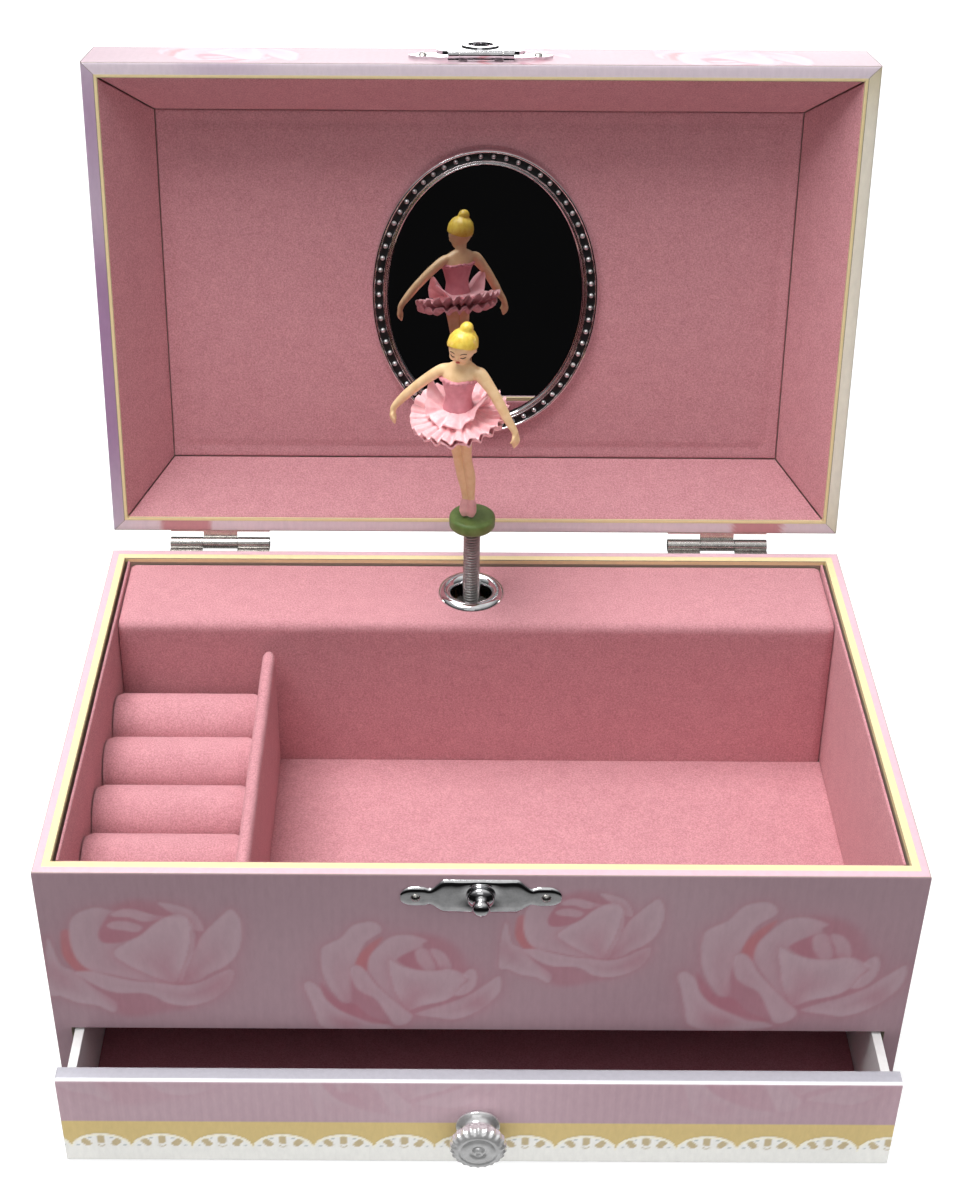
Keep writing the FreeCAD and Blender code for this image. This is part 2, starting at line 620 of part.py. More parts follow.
def cylinder_with_pins():
    """Pinned cylinder on its arbor, with the pinion on the right and the fan's wheel on the left."""
    arbor = cylinder(V(ARBOR_END, 0, 0), X_AXIS, 1.0, PINION_X + 3.4 - ARBOR_END)
    drum = cylinder(V(CYL_LEFT, 0, 0), X_AXIS, CYL_R, CYL_RIGHT - CYL_LEFT)
    pins = []
    for i in range(COMB_TEETH):
        x = CYL_LEFT + 1.2 + i * (CYL_RIGHT - CYL_LEFT - 2.4) / (COMB_TEETH - 1)
        for k in range(3):
            angle = math.radians((i * 137.5 + k * 113.0) % 360.0)
            direction = V(0, math.cos(angle), math.sin(angle))
            pins.append(cylinder(V(x, 0, 0) + direction * (CYL_R - 0.5), direction, 0.25, 0.95))
    wheel = toothed(WHEEL_TEETH, WHEEL_R, 0.45, 0.5, WHEEL_X, WHEEL_T)
    pinion = toothed(PINION_TEETH, PINION_R, 0.5, 0.7, PINION_X - 3.0, 5.6)
    whole = fuse([arbor, drum, wheel, pinion] + pins)
    whole.translate(V(0, DANCER_Y, ARBOR_Z))
    save("music_cylinder", whole)


def spindle():
    """Upright spindle under the spring, with a crown of pins on the cylinder's pinion."""
    low = ARBOR_Z + PINION_R + 0.6 - PIN_LEN
    disc_low = ARBOR_Z + PINION_R + 0.6
    shapes = [cylinder(V(0, 0, disc_low), Z_AXIS, SPINDLE_R_PINS + 0.9, 1.2),
              cylinder(V(0, 0, disc_low), Z_AXIS, 1.2, 75.0 - disc_low)]
    shapes += crown(SPINDLE_PINS, SPINDLE_R_PINS, low, disc_low + 0.2)
    whole = fuse(shapes)
    # a tooth of the pinion stands straight up, so the crown has a gap there
    whole.rotate(V(0, 0, 0), Z_AXIS, 180.0 / SPINDLE_PINS)
    whole.translate(V(DANCER_X, DANCER_Y, 0))
    save("dancer_spindle", whole)


def mainspring_drum():
    face = DANCER_Y + PINION_R + 0.6
    rear = BACK - WALL - BEDPLATE_T - 0.3
    shapes = [cylinder(V(0, 0, 0), Z_AXIS, DRUM_R_PINS + 1.6, rear - face),
              cylinder(V(0, 0, 0), Z_AXIS, 1.5, BACK + 3.0 - face)]
    shapes += crown(DRUM_PINS, DRUM_R_PINS, -PIN_LEN, 0.2)
    whole = fuse(shapes)
    whole.rotate(V(0, 0, 0), X_AXIS, -90)
    whole.translate(V(DRUM_X, face, ARBOR_Z))
    save("mainspring_drum", whole)


def winding_key():
    """Butterfly key on the arbor, behind the back board."""
    boss = cylinder(V(DRUM_X, BACK + 0.8, ARBOR_Z), Y_AXIS, 2.6, 9.0)
    arbor = cylinder(V(DRUM_X, BACK, ARBOR_Z), Y_AXIS, 1.5, 3.0)
    wing = cylinder(V(DRUM_X, BACK + 9.0, ARBOR_Z), X_AXIS, 6.2, 2.0)
    wing.translate(V(-1.0, 5.4, 0))
    upper = wing.copy()
    upper.translate(V(0, 0, 4.4))
    lower = wing.copy()
    lower.translate(V(0, 0, -4.4))
    hole_up = cylinder(V(DRUM_X - 3, BACK + 14.8, ARBOR_Z + 5.2), X_AXIS, 2.4, 6)
    hole_low = cylinder(V(DRUM_X - 3, BACK + 14.8, ARBOR_Z - 5.2), X_AXIS, 2.4, 6)
    key = fuse([boss, upper, lower]).cut(arbor).cut(hole_up).cut(hole_low)
    save("winding_key", key)


def governor_fan():
    pinion = toothed(FAN_TEETH, FAN_R, 0.45, 0.5, WHEEL_X, WHEEL_T)
    pinion.rotate(V(0, 0, 0), X_AXIS, fan_phase())
    shaft = cylinder(V(ARBOR_END, 0, 0), X_AXIS, 0.6, 24.0)
    vane = box(-30.0, -18.0, -0.3, 0.3, -4.6, 4.6)
    whole = fuse([pinion, shaft, vane])
    whole.translate(V(0, FAN_Y, FAN_Z))
    save("governor_fan", whole)


def fan_phase():
    """Turn that puts a gap of the fan's pinion on the wheel's tooth line."""
    line = math.degrees(math.atan2(FAN_Z - ARBOR_Z, FAN_Y - DANCER_Y))
    wheel_step = 360.0 / WHEEL_TEETH
    # teeth stand at 90 degrees plus whole steps, measured from +Y towards +Z
    wheel_off = (line - 90.0) % wheel_step
    fan_step = 360.0 / FAN_TEETH
    back_line = line + 180.0
    # seen from the fan, the wheel's tooth stands wheel_off behind the line of centres
    fan_gap = back_line + wheel_off * WHEEL_TEETH / FAN_TEETH
    return (fan_gap - 90.0 + fan_step / 2.0) % fan_step


def bedplate():
    low, high = 34.0, 68.0
    face = IN_Y - BEDPLATE_T
    shapes = [box(-40.0, 30.0, face, IN_Y, low, high)]
    # bearings of the cylinder's arbor and the fan's shaft
    shapes.append(box(-37.6, -36.2, FAN_Y - 2.6, face, 44.0, FAN_Z + 2.4))
    shapes.append(box(EAR_X, EAR_X + 1.6, DANCER_Y - 2.6, face, 44.0, ARBOR_Z + 2.2))
    shapes.append(box(-16.6, -15.0, FAN_Y - 2.4, face, FAN_Z - 2.4, FAN_Z + 2.4))
    # upper bearing of the spindle and the comb's seat
    shapes.append(box(DANCER_X - 4, DANCER_X + 4, DANCER_Y - 4, face, 60.0, 61.5))
    shapes.append(box(CYL_LEFT, CYL_RIGHT, DANCER_Y + 0.7, face, 34.0, 38.6))
    plate = fuse(shapes)
    for radius, x, y, z, direction, length in (
            (1.0 + RUN, -39.0, DANCER_Y, ARBOR_Z, X_AXIS, 45.0),
            (0.6 + RUN, -39.0, FAN_Y, FAN_Z, X_AXIS, 30.0),
            (1.2 + RUN, DANCER_X, DANCER_Y, 59.0, Z_AXIS, 5.0),
            (1.5 + RUN, DRUM_X, face - 1, ARBOR_Z, Y_AXIS, 4.0)):
        plate = plate.cut(cylinder(V(x, y, z), direction, radius, length))
    holes = [cylinder(V(x, face - 1, z), Y_AXIS, 1.25, 4) for x, z in plate_screws()]
    for x in comb_screws():
        holes.append(cylinder(V(x, DANCER_Y - 1, COMB_SCREW_Z), Y_AXIS, 0.8, 6))
    save("movement_bedplate", plate.cut(holes))


def plate_screws():
    return [(-37.0, 37.0), (27.0, 37.0), (-30.0, 65.0), (27.0, 65.0)]


def comb_screws():
    return [-27.0, -20.0, -13.0]


def comb():
    low, high = 34.2, ARBOR_Z - CYL_R - 0.9
    face = DANCER_Y - 0.3
    plate = box(CYL_LEFT + 0.5, CYL_RIGHT - 0.5, face, face + 1.0, low, high)
    pitch = (CYL_RIGHT - CYL_LEFT - 1.0) / COMB_TEETH
    slots = []
    for i in range(1, COMB_TEETH):
        x = CYL_LEFT + 0.5 + i * pitch
        slots.append(box(x - 0.17, x + 0.17, face - 1, face + 2, 38.8, high + 1))
    holes = [cylinder(V(x, face - 1, COMB_SCREW_Z), Y_AXIS, 0.8, 4) for x in comb_screws()]
    save("comb", plate.cut(slots).cut(holes))


def movement_screws():
    screws = []
    face = IN_Y - BEDPLATE_T
    for x, z in plate_screws():
        shank = cylinder(V(x, face, z), Y_AXIS, 1.25, BEDPLATE_T)
        point = cylinder(V(x, face + BEDPLATE_T, z), Y_AXIS, 1.0, 2.4)
        head = cylinder(V(x, face - 1.3, z), Y_AXIS, 2.2, 1.3)
        screws.append(fuse([shank, point, head]))
    for x in comb_screws():
        shank = cylinder(V(x, DANCER_Y - 0.3, COMB_SCREW_Z), Y_AXIS, 0.8, 5.0)
        head = cylinder(V(x, DANCER_Y - 1.2, COMB_SCREW_Z), Y_AXIS, 1.4, 0.9)
        screws.append(fuse([shank, head]))
    save("movement_screws", group(screws))


def main():
    os.makedirs("parts", exist_ok=True)
    base_boards()
    linings()
    rear_platform()
    grommet()
    divider()
    ring_rolls()
    hinges()
    base_latch()
    lid_latch()
    nails()
    lid_boards()
    lid_linings()
    mirror()
    drawer()
    knob()
    dancer()
    cylinder_with_pins()
    spindle()
    mainspring_drum()
    winding_key()
    governor_fan()
    bedplate()
    comb()
    movement_screws()


main()
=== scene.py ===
import json
import math

import bpy
import numpy as np
from mathutils import Matrix, Vector, noise


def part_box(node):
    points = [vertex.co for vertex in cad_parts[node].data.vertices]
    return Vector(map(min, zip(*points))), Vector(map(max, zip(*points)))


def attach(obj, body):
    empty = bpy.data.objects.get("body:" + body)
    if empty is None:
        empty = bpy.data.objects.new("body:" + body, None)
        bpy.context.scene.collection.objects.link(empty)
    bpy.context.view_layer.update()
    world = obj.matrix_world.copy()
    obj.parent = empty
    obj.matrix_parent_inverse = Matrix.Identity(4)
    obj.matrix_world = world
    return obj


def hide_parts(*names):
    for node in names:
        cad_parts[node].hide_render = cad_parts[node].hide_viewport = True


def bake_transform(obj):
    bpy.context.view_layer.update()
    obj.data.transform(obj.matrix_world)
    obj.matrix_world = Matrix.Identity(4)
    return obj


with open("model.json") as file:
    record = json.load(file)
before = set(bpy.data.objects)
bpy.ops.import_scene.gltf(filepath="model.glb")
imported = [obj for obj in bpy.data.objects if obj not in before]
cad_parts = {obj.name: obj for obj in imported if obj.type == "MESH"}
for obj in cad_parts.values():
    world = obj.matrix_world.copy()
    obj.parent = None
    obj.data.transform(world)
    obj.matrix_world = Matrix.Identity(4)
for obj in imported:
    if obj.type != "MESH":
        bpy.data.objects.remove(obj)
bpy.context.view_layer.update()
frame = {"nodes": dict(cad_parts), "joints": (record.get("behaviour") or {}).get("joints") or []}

# Ballerina jewellery box: looks only. Sizes are in millimetres here and become metres in the meshes.
MM = 0.001
NODES = frame["nodes"]
scene = bpy.context.scene


# ---- places read from the frame ------------------------------------------------------
def span(node):
    """Lowest and highest corner of a CAD node, in millimetres."""
    low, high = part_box(node)
    return [v / MM for v in low], [v / MM for v in high]


def joint(name):
    """The joint's own entry in the frame."""
    return next(j for j in frame["joints"] if j["name"] == name)


BASE_LOW, BASE_HIGH = span("base_bottom_board")
HX, HY = BASE_HIGH[:2]
(_, _, OPENING_TOP), (_, _, BASE_TOP) = span("base_front_board")
LINING_IN_X = -span("left_lining")[1][0]
_, (_, FRONT_LINING_Y, LINING_TOP) = span("front_lining")
LINING_IN_Y = -FRONT_LINING_Y
INNER_X, INNER_Y = span("compartment_shelf")[1][:2]
_, FLOOR_BACK, FLOOR_TOP = span("compartment_floor_lining")[1]
(_, STEP_FRONT, _), (STEP_HALF, STEP_BACK, STEP_TOP) = span("rear_platform")
AXIS = [v / MM for v in joint("lid_hinge")["pos_m"]]
LID_ANGLE = joint("lid_hinge")["range_deg"][1]
LID_HX = span("lid_top_board")[1][0]
LID_H = 20.0
LID_RIM = AXIS[2]
LID_INNER_X = span("lid_right_lining")[1][0]
LID_INNER_Y = HY - (LID_HX - LID_INNER_X)
LID_SLOPE = 10.8                # how far in the four sloping felts reach
LID_PANEL_X = LID_INNER_X - LID_SLOPE
LID_PANEL_Y = LID_INNER_Y - LID_SLOPE
LID_DEEP = LID_RIM + 16.8       # where the felt panel is while the lid is closed
LID_RIM_PRINT = 2.8             # width of printed paper turned over the lid's rim
MIRROR_LOW, MIRROR_HIGH = span("mirror_frame")
MIRROR_X = (MIRROR_LOW[0] + MIRROR_HIGH[0]) / 2
MIRROR_Y = 0.7
DANCER_X, DANCER_Y = [v / MM for v in joint("ballerina_spin")["pos_m"][:2]]
DISC_LOW, DISC_HIGH = span("ballerina_disc")
DRAWER_LOW, DRAWER_HIGH = span("drawer_front")
KNOB_LOW, KNOB_HIGH = span("drawer_knob")
LATCH_LOW, LATCH_HIGH = span("base_latch_plate")
LATCH_Z = (LATCH_LOW[2] + LATCH_HIGH[2]) / 2
PAPER = 0.09                    # how far the paper stands off its board

# The visual lid is laid out closed, where its sides are upright, then swung open to rest.
OPEN = (Matrix.Translation(Vector(AXIS)) @ Matrix.Rotation(math.radians(-LID_ANGLE), 4, "X")
        @ Matrix.Translation(-Vector(AXIS)))


# ---- colour and node helpers ---------------------------------------------------------
def linear(red, green, blue):
    """sRGB 0-255 to linear RGB."""
    out = []
    for value in (red, green, blue):
        c = value / 255.0
        out.append(c / 12.92 if c <= 0.04045 else ((c + 0.055) / 1.055) ** 2.4)
    return out


class Shade:
    """A material being built: short calls that add and link nodes."""

    def __init__(self, name):
        self.material = bpy.data.materials.new(name)
        self.material.use_nodes = True
        self.tree = self.material.node_tree
        self.shader = self.tree.nodes["Principled BSDF"]
        coordinates = self.tree.nodes.new("ShaderNodeTexCoord")
        self.place = coordinates.outputs["Object"]

    def set(self, **values):
        for key, value in values.items():
            self.shader.inputs[key.replace("_", " ")].default_value = value
        return self

    def feed(self, value, socket):
        """Links another node's output, or writes a plain value."""
        if isinstance(value, bpy.types.NodeSocket):
            self.tree.links.new(value, socket)
        elif socket.type == "RGBA":
            socket.default_value = (*value[:3], 1.0)
        else:
            socket.default_value = value

    def new(self, kind, inputs=None, **settings):
        node = self.tree.nodes.new(kind)
        for key, value in settings.items():
            setattr(node, key, value)
        for key, value in (inputs or {}).items():
            self.feed(value, node.inputs[key])
        return node

    def noise(self, scale, detail=4.0, rough=0.6, place=None):
        return self.new("ShaderNodeTexNoise", {"Scale": scale, "Detail": detail, "Roughness": rough,
                                               "Vector": place or self.place}).outputs["Fac"]

    def stretched(self, x, y, z):
        return self.new("ShaderNodeMapping", {"Scale": (x, y, z), "Vector": self.place}).outputs["Vector"]

    def ramp(self, value, stops):
        node = self.new("ShaderNodeValToRGB", {"Fac": value})
        for element, (place, colour) in zip(node.color_ramp.elements, stops):
            element.position = place
            element.color = (*colour, 1.0)
        return node.outputs["Color"]

    def multiply(self, first, second):
        return self.new("ShaderNodeMix", {"Factor": 1.0, "A": first, "B": second}, data_type="RGBA",
                        blend_type="MULTIPLY").outputs["Result"]

    def sum(self, first, first_share, second, second_share):
        """Weighted sum of two heights."""
        parts = [self.new("ShaderNodeMath", {0: value, 1: share}, operation="MULTIPLY").outputs[0]
                 for value, share in ((first, first_share), (second, second_share))]
        return self.new("ShaderNodeMath", {0: parts[0], 1: parts[1]}, operation="ADD").outputs[0]

    def colour(self, value):
        self.feed(value, self.shader.inputs["Base Color"])
        return self

    def rough(self, value, low, high):
        node = self.new("ShaderNodeMapRange", {"To Min": low, "To Max": high, "Value": value})
        self.feed(node.outputs["Result"], self.shader.inputs["Roughness"])
        return self

    def bump(self, height, strength, distance):
        node = self.new("ShaderNodeBump", {"Strength": strength, "Distance": distance, "Height": height})
        self.feed(node.outputs["Normal"], self.shader.inputs["Normal"])
        return self


# ---- materials -----------------------------------------------------------------------
def felt(name, light, dark):
    """Short flocked felt: mottled colour, fine nap and a soft sheen."""
    s = Shade(name)
    nap = s.noise(2600, 5, 0.75)
    blotch = s.noise(260, 3, 0.6)
    s.colour(s.ramp(s.sum(nap, 0.88, blotch, 0.12), [(0.36, dark), (0.62, light)]))
    s.set(Roughness=0.95, Sheen_Weight=0.12, Sheen_Roughness=0.6, Specular_IOR_Level=0.12)
    fibres = s.noise(5200, 2, 0.8, s.stretched(1.0, 1.35, 0.8))
    s.bump(s.sum(nap, 0.7, fibres, 0.5), 0.55, 0.00025)
    return s.material


def printed(name, gloss=0.42):
    """Printed paper: the print is a colour attribute, with fine stripes, fibre and a satin coat."""
    s = Shade(name)
    print_colour = s.new("ShaderNodeAttribute", attribute_name="print").outputs["Color"]
    fibre = s.noise(900, 4, 0.6, s.stretched(1.0, 1.0, 0.35))
    grain = s.noise(3500, 2, 0.6)
    tone = s.ramp(fibre, [(0.3, (0.92, 0.92, 0.925)), (0.7, (1.0, 1.0, 1.0))])
    s.colour(s.multiply(print_colour, tone))
    s.set(Specular_IOR_Level=0.35)
    s.rough(grain, gloss - 0.06, gloss + 0.1)
    s.bump(s.sum(fibre, 1.0, grain, 0.4), 0.12, 0.0001)
    return s.material


def plain_paper(name, tint, gloss=0.4):
    """Paper or board in one colour, with fibres."""
    s = Shade(name)
    fibre = s.noise(700, 4, 0.6)
    low = [c * 0.93 for c in tint]
    s.colour(s.ramp(fibre, [(0.3, low), (0.7, tint)]))
    s.set(Specular_IOR_Level=0.35)
    s.rough(s.noise(2500), gloss - 0.05, gloss + 0.1)
    s.bump(fibre, 0.1, 0.0001)
    return s.material


def metal(name, tint, low, high, brushed=0.0, metallic=1.0):
    """Plated or brushed metal, between two roughnesses, slightly worn."""
    s = Shade(name)
    wear = s.noise(420, 5, 0.65)
    fine = s.noise(1500, 3, 0.6, s.stretched(1.0, 6.0, 6.0) if brushed else None)
    dull = [c * 0.82 for c in tint]
    s.colour(s.ramp(wear, [(0.35, dull), (0.6, tint)]))
    s.set(Metallic=metallic)
    s.rough(fine, low, high)
    s.bump(fine, 0.05 + brushed, 0.00004)
    return s.material


def moulded(name, light, dark, gloss=0.3, coat=0.0, scale=500, bump=0.08):
    """Moulded and painted plastic with slightly uneven paint."""
    s = Shade(name)
    uneven = s.noise(scale, 4, 0.55)
    s.colour(s.ramp(uneven, [(0.35, dark), (0.65, light)]))
    s.set(Coat_Weight=coat, Coat_Roughness=0.15)
    s.rough(s.noise(900), gloss - 0.08, gloss + 0.1)
    s.bump(uneven, bump, 0.0001)
    return s.material


def mirror_material():
    """Old silvering that gives back about half the light."""
    s = Shade("mirror_silver")
    haze = s.noise(60, 3, 0.5)
    s.colour(s.ramp(haze, [(0.3, (0.50, 0.50, 0.51)), (0.8, (0.54, 0.54, 0.55))]))
    s.set(Metallic=1.0)
    s.rough(haze, 0.0, 0.01)
    return s.material


M = {
    "felt": felt("pink_felt", linear(222, 163, 170), linear(184, 122, 130)),
    # a darker copy of the pink felt for the drawer's inside: painted shade
    "felt_painted_shade": felt("rose_felt", linear(190, 120, 132), linear(160, 92, 104)),
    "print": printed("rose_print"),
    "cream": plain_paper("cream_edge", linear(247, 229, 176)),
    "white": plain_paper("white_paper", linear(250, 249, 248), 0.32),
    "board": plain_paper("bare_board", linear(170, 156, 138), 0.8),
    "chrome": metal("bright_chrome", (0.86, 0.86, 0.87), 0.03, 0.12),
    # the knob's chrome is only 0.7 metallic, so its near-white colour adds a painted reflection of the pale
    # table
    "knob": metal("knob_chrome_painted_reflection", (0.96, 0.96, 0.96), 0.05, 0.14, metallic=0.7),
    "nickel": metal("nickel_plate", (0.62, 0.60, 0.57), 0.16, 0.34, 0.1),
    "steel": metal("spring_steel", (0.48, 0.47, 0.46), 0.2, 0.4, 0.1),
    "brass": metal("machined_brass", (0.75, 0.55, 0.25), 0.18, 0.32, 0.1),
    "bead": metal("bead_silver", (0.93, 0.93, 0.94), 0.28, 0.4),
    "channel": moulded("black_channel", (0.012, 0.012, 0.013), (0.006, 0.006, 0.006), 0.35),
    "green": moulded("green_disc", linear(112, 140, 76), linear(94, 122, 60), 0.4, 0.1),
    "skin": moulded("figure_skin", linear(246, 212, 166), linear(236, 198, 148), 0.38, 0.25),
    "hair": moulded("figure_hair", linear(250, 222, 96), linear(236, 200, 72), 0.35, 0.25, 900, 0.3),
    "bodice": moulded("figure_bodice", linear(222, 148, 158), linear(208, 130, 142), 0.4, 0.1),
    "tutu": moulded("figure_tutu", linear(255, 206, 209), linear(246, 186, 192), 0.36, 0.2, 700, 0.2),
    "shoe": moulded("figure_shoe", linear(240, 182, 180), linear(226, 164, 164), 0.35, 0.2),
    "brow": moulded("figure_brow", linear(96, 62, 44), linear(70, 44, 32), 0.5),
    "lip": moulded("figure_lip", linear(206, 104, 92), linear(190, 88, 80), 0.4),
    "mirror": mirror_material(),
}


# ---- mesh helpers --------------------------------------------------------------------
def make(name, points, faces, material, body, replaced=(), smooth=True, colours=None):
    """A mesh piece from points in millimetres, riding on a body. With no body, it is left unattached and the
    caller bakes its transform.
    """
    mesh = bpy.data.meshes.new(name)
    mesh.from_pydata([[c * MM for c in p] for p in points], [], faces)
    mesh.validate()
    mesh.update()
    if colours is not None:
        layer = mesh.color_attributes.new("print", "FLOAT_COLOR", "POINT")
        flat = np.ones((len(points), 4))
        flat[:, :3] = colours
        layer.data.foreach_set("color", flat.ravel())
    for polygon in mesh.polygons:
        polygon.use_smooth = smooth
    mesh.materials.append(material)
    piece = bpy.data.objects.new(name, mesh)
    scene.collection.objects.link(piece)
    if body:
        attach(piece, body)
    if replaced:
        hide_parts(*replaced)
    return piece


def grid_faces(rows, columns, wrap=False, offset=0):
    """Faces between rows of points; wrap joins each row's end to its start."""
    faces = []
    for i in range(rows - 1):
        for j in range(columns if wrap else columns - 1):
            k = (j + 1) % columns
            faces.append((offset + i * columns + j, offset + i * columns + k,
                          offset + (i + 1) * columns + k, offset + (i + 1) * columns + j))
    return faces


def capped_faces(rings, steps):
    """Faces of a tube of rings, closed at both ends."""
    last = (rings - 1) * steps
    return grid_faces(rings, steps, True) + [tuple(reversed(range(steps))), tuple(range(last, last + steps))]


def flipped(faces):
    """The same faces, facing the other way."""
    return [tuple(reversed(face)) for face in faces]


def turn(steps):
    """The angles of one full turn."""
    return [2 * math.pi * j / steps for j in range(steps)]


def level(x0, y0, x1, y1, z):
    """Corners of a level rectangle, from (x0, y0) through (x1, y0)."""
    return [(x0, y0, z), (x1, y0, z), (x1, y1, z), (x0, y1, z)]


def moved(points, matrix):
    return [matrix @ Vector(p) for p in points]


def merge(parts):
    """Joins (points, faces) pairs."""
    points, faces = [], []
    for some_points, some_faces in parts:
        start = len(points)
        points += [tuple(p) for p in some_points]
        faces += [tuple(start + i for i in face) for face in some_faces]
    return points, faces


def lathe(profile, steps=48, ripple=None):
    """Points and faces of a shape turned about Z. ripple(angle, radius, height) changes the radius."""
    points = []
    for radius, height in profile:
        for angle in turn(steps):
            r = ripple(angle, radius, height) if ripple else radius
            points.append((r * math.cos(angle), r * math.sin(angle), height))
    return points, capped_faces(len(profile), steps)


def ball(centre, radius, rings=10, steps=14, squeeze=(1, 1, 1)):
    points = []
    for i in range(rings + 1):
        polar = math.pi * i / rings
        for angle in turn(steps):
            ray = (math.sin(polar) * math.cos(angle), math.sin(polar) * math.sin(angle), math.cos(polar))
            points.append(tuple(c + radius * factor * r for c, factor, r in zip(centre, squeeze, ray)))
    return points, grid_faces(rings + 1, steps, True)


def tube(path, radii, steps=14, flat=None):
    """Tube along a path with a radius at each point; flat(i) gives (across, deep) factors."""
    points = []
    path = [Vector(p) for p in path]
    start = (path[1] - path[0]).normalized()
    side = start.orthogonal().normalized() if abs(start.x) > 0.9 else Vector((1, 0, 0))
    for i, point in enumerate(path):
        ahead = (path[min(i + 1, len(path) - 1)] - path[max(i - 1, 0)]).normalized()
        side = (side - ahead * side.dot(ahead)).normalized()
        up = ahead.cross(side)
        across, deep = flat(i) if flat else (1.0, 1.0)
        for angle in turn(steps):
            points.append(point + side * (radii[i] * across * math.cos(angle))
                          + up * (radii[i] * deep * math.sin(angle)))
    return points, capped_faces(len(path), steps)


def smoothstep(low, high, value):
    t = np.clip((value - low) / (high - low), 0.0, 1.0)
    return t * t * (3 - 2 * t)


def catmull_rom(p0, p1, p2, p3, t):
    """Point between p1 and p2 of a smooth curve through all four."""
    return 0.5 * (2 * p1 + (p2 - p0) * t + (2 * p0 - 5 * p1 + 4 * p2 - p3) * t ** 2
                  + (3 * p1 - p0 - 3 * p2 + p3) * t ** 3)


def curve_through(points, count):
    """Smooth open curve through a few given points."""
    points = np.array(points, float)
    ends = np.vstack([2 * points[0] - points[1], points, 2 * points[-1] - points[-2]])
    out = []
    for k in range(count):
        t = (len(points) - 1) * k / (count - 1)
        i = min(int(t), len(points) - 2)
        out.append(catmull_rom(*ends[i:i + 4], t - i))
    return out


# ---- the print -----------------------------------------------------------------------
PAPER_PINK = np.array(linear(172, 149, 158))
PAPER_LIGHT = np.array(linear(192, 171, 179))
PETAL_LIGHT = np.array(linear(197, 178, 186))
PETAL_SHADE = np.array(linear(184, 142, 154))
PETAL_DEEP = np.array(linear(176, 120, 134))
SALMON = np.array(linear(192, 126, 130))
RIM_PINK = np.array(linear(232, 192, 203))
GOLD = np.array(linear(217, 193, 134))
LACE = np.array(linear(246, 245, 240))
LACE_HOLE = np.array(linear(196, 176, 132))
LACE_DOT = np.array(linear(168, 176, 178))
LILAC = np.array(linear(206, 186, 208))
RIBBON = np.array(linear(206, 120, 124))
OLIVE = np.array(linear(206, 190, 140))
PURPLE = np.array(linear(176, 140, 176))


def plain(x, colour):
    """One colour at every place."""
    return np.ones(x.shape + (3,)) * colour


def blend(base, colour, amount):
    return base * (1 - amount[..., None]) + colour * amount[..., None]


def soft_noise(x, z, scale, seed):
    """Cheap smooth noise from a few waves."""
    rng = np.random.default_rng(seed)
    total = np.zeros_like(x)
    for _ in range(7):
        angle = rng.uniform(0, 2 * math.pi)
        wave = scale * rng.uniform(0.5, 1.8)
        total += np.sin((x * math.cos(angle) + z * math.sin(angle)) / wave + rng.uniform(0, 6.3))
    return total / 7.0


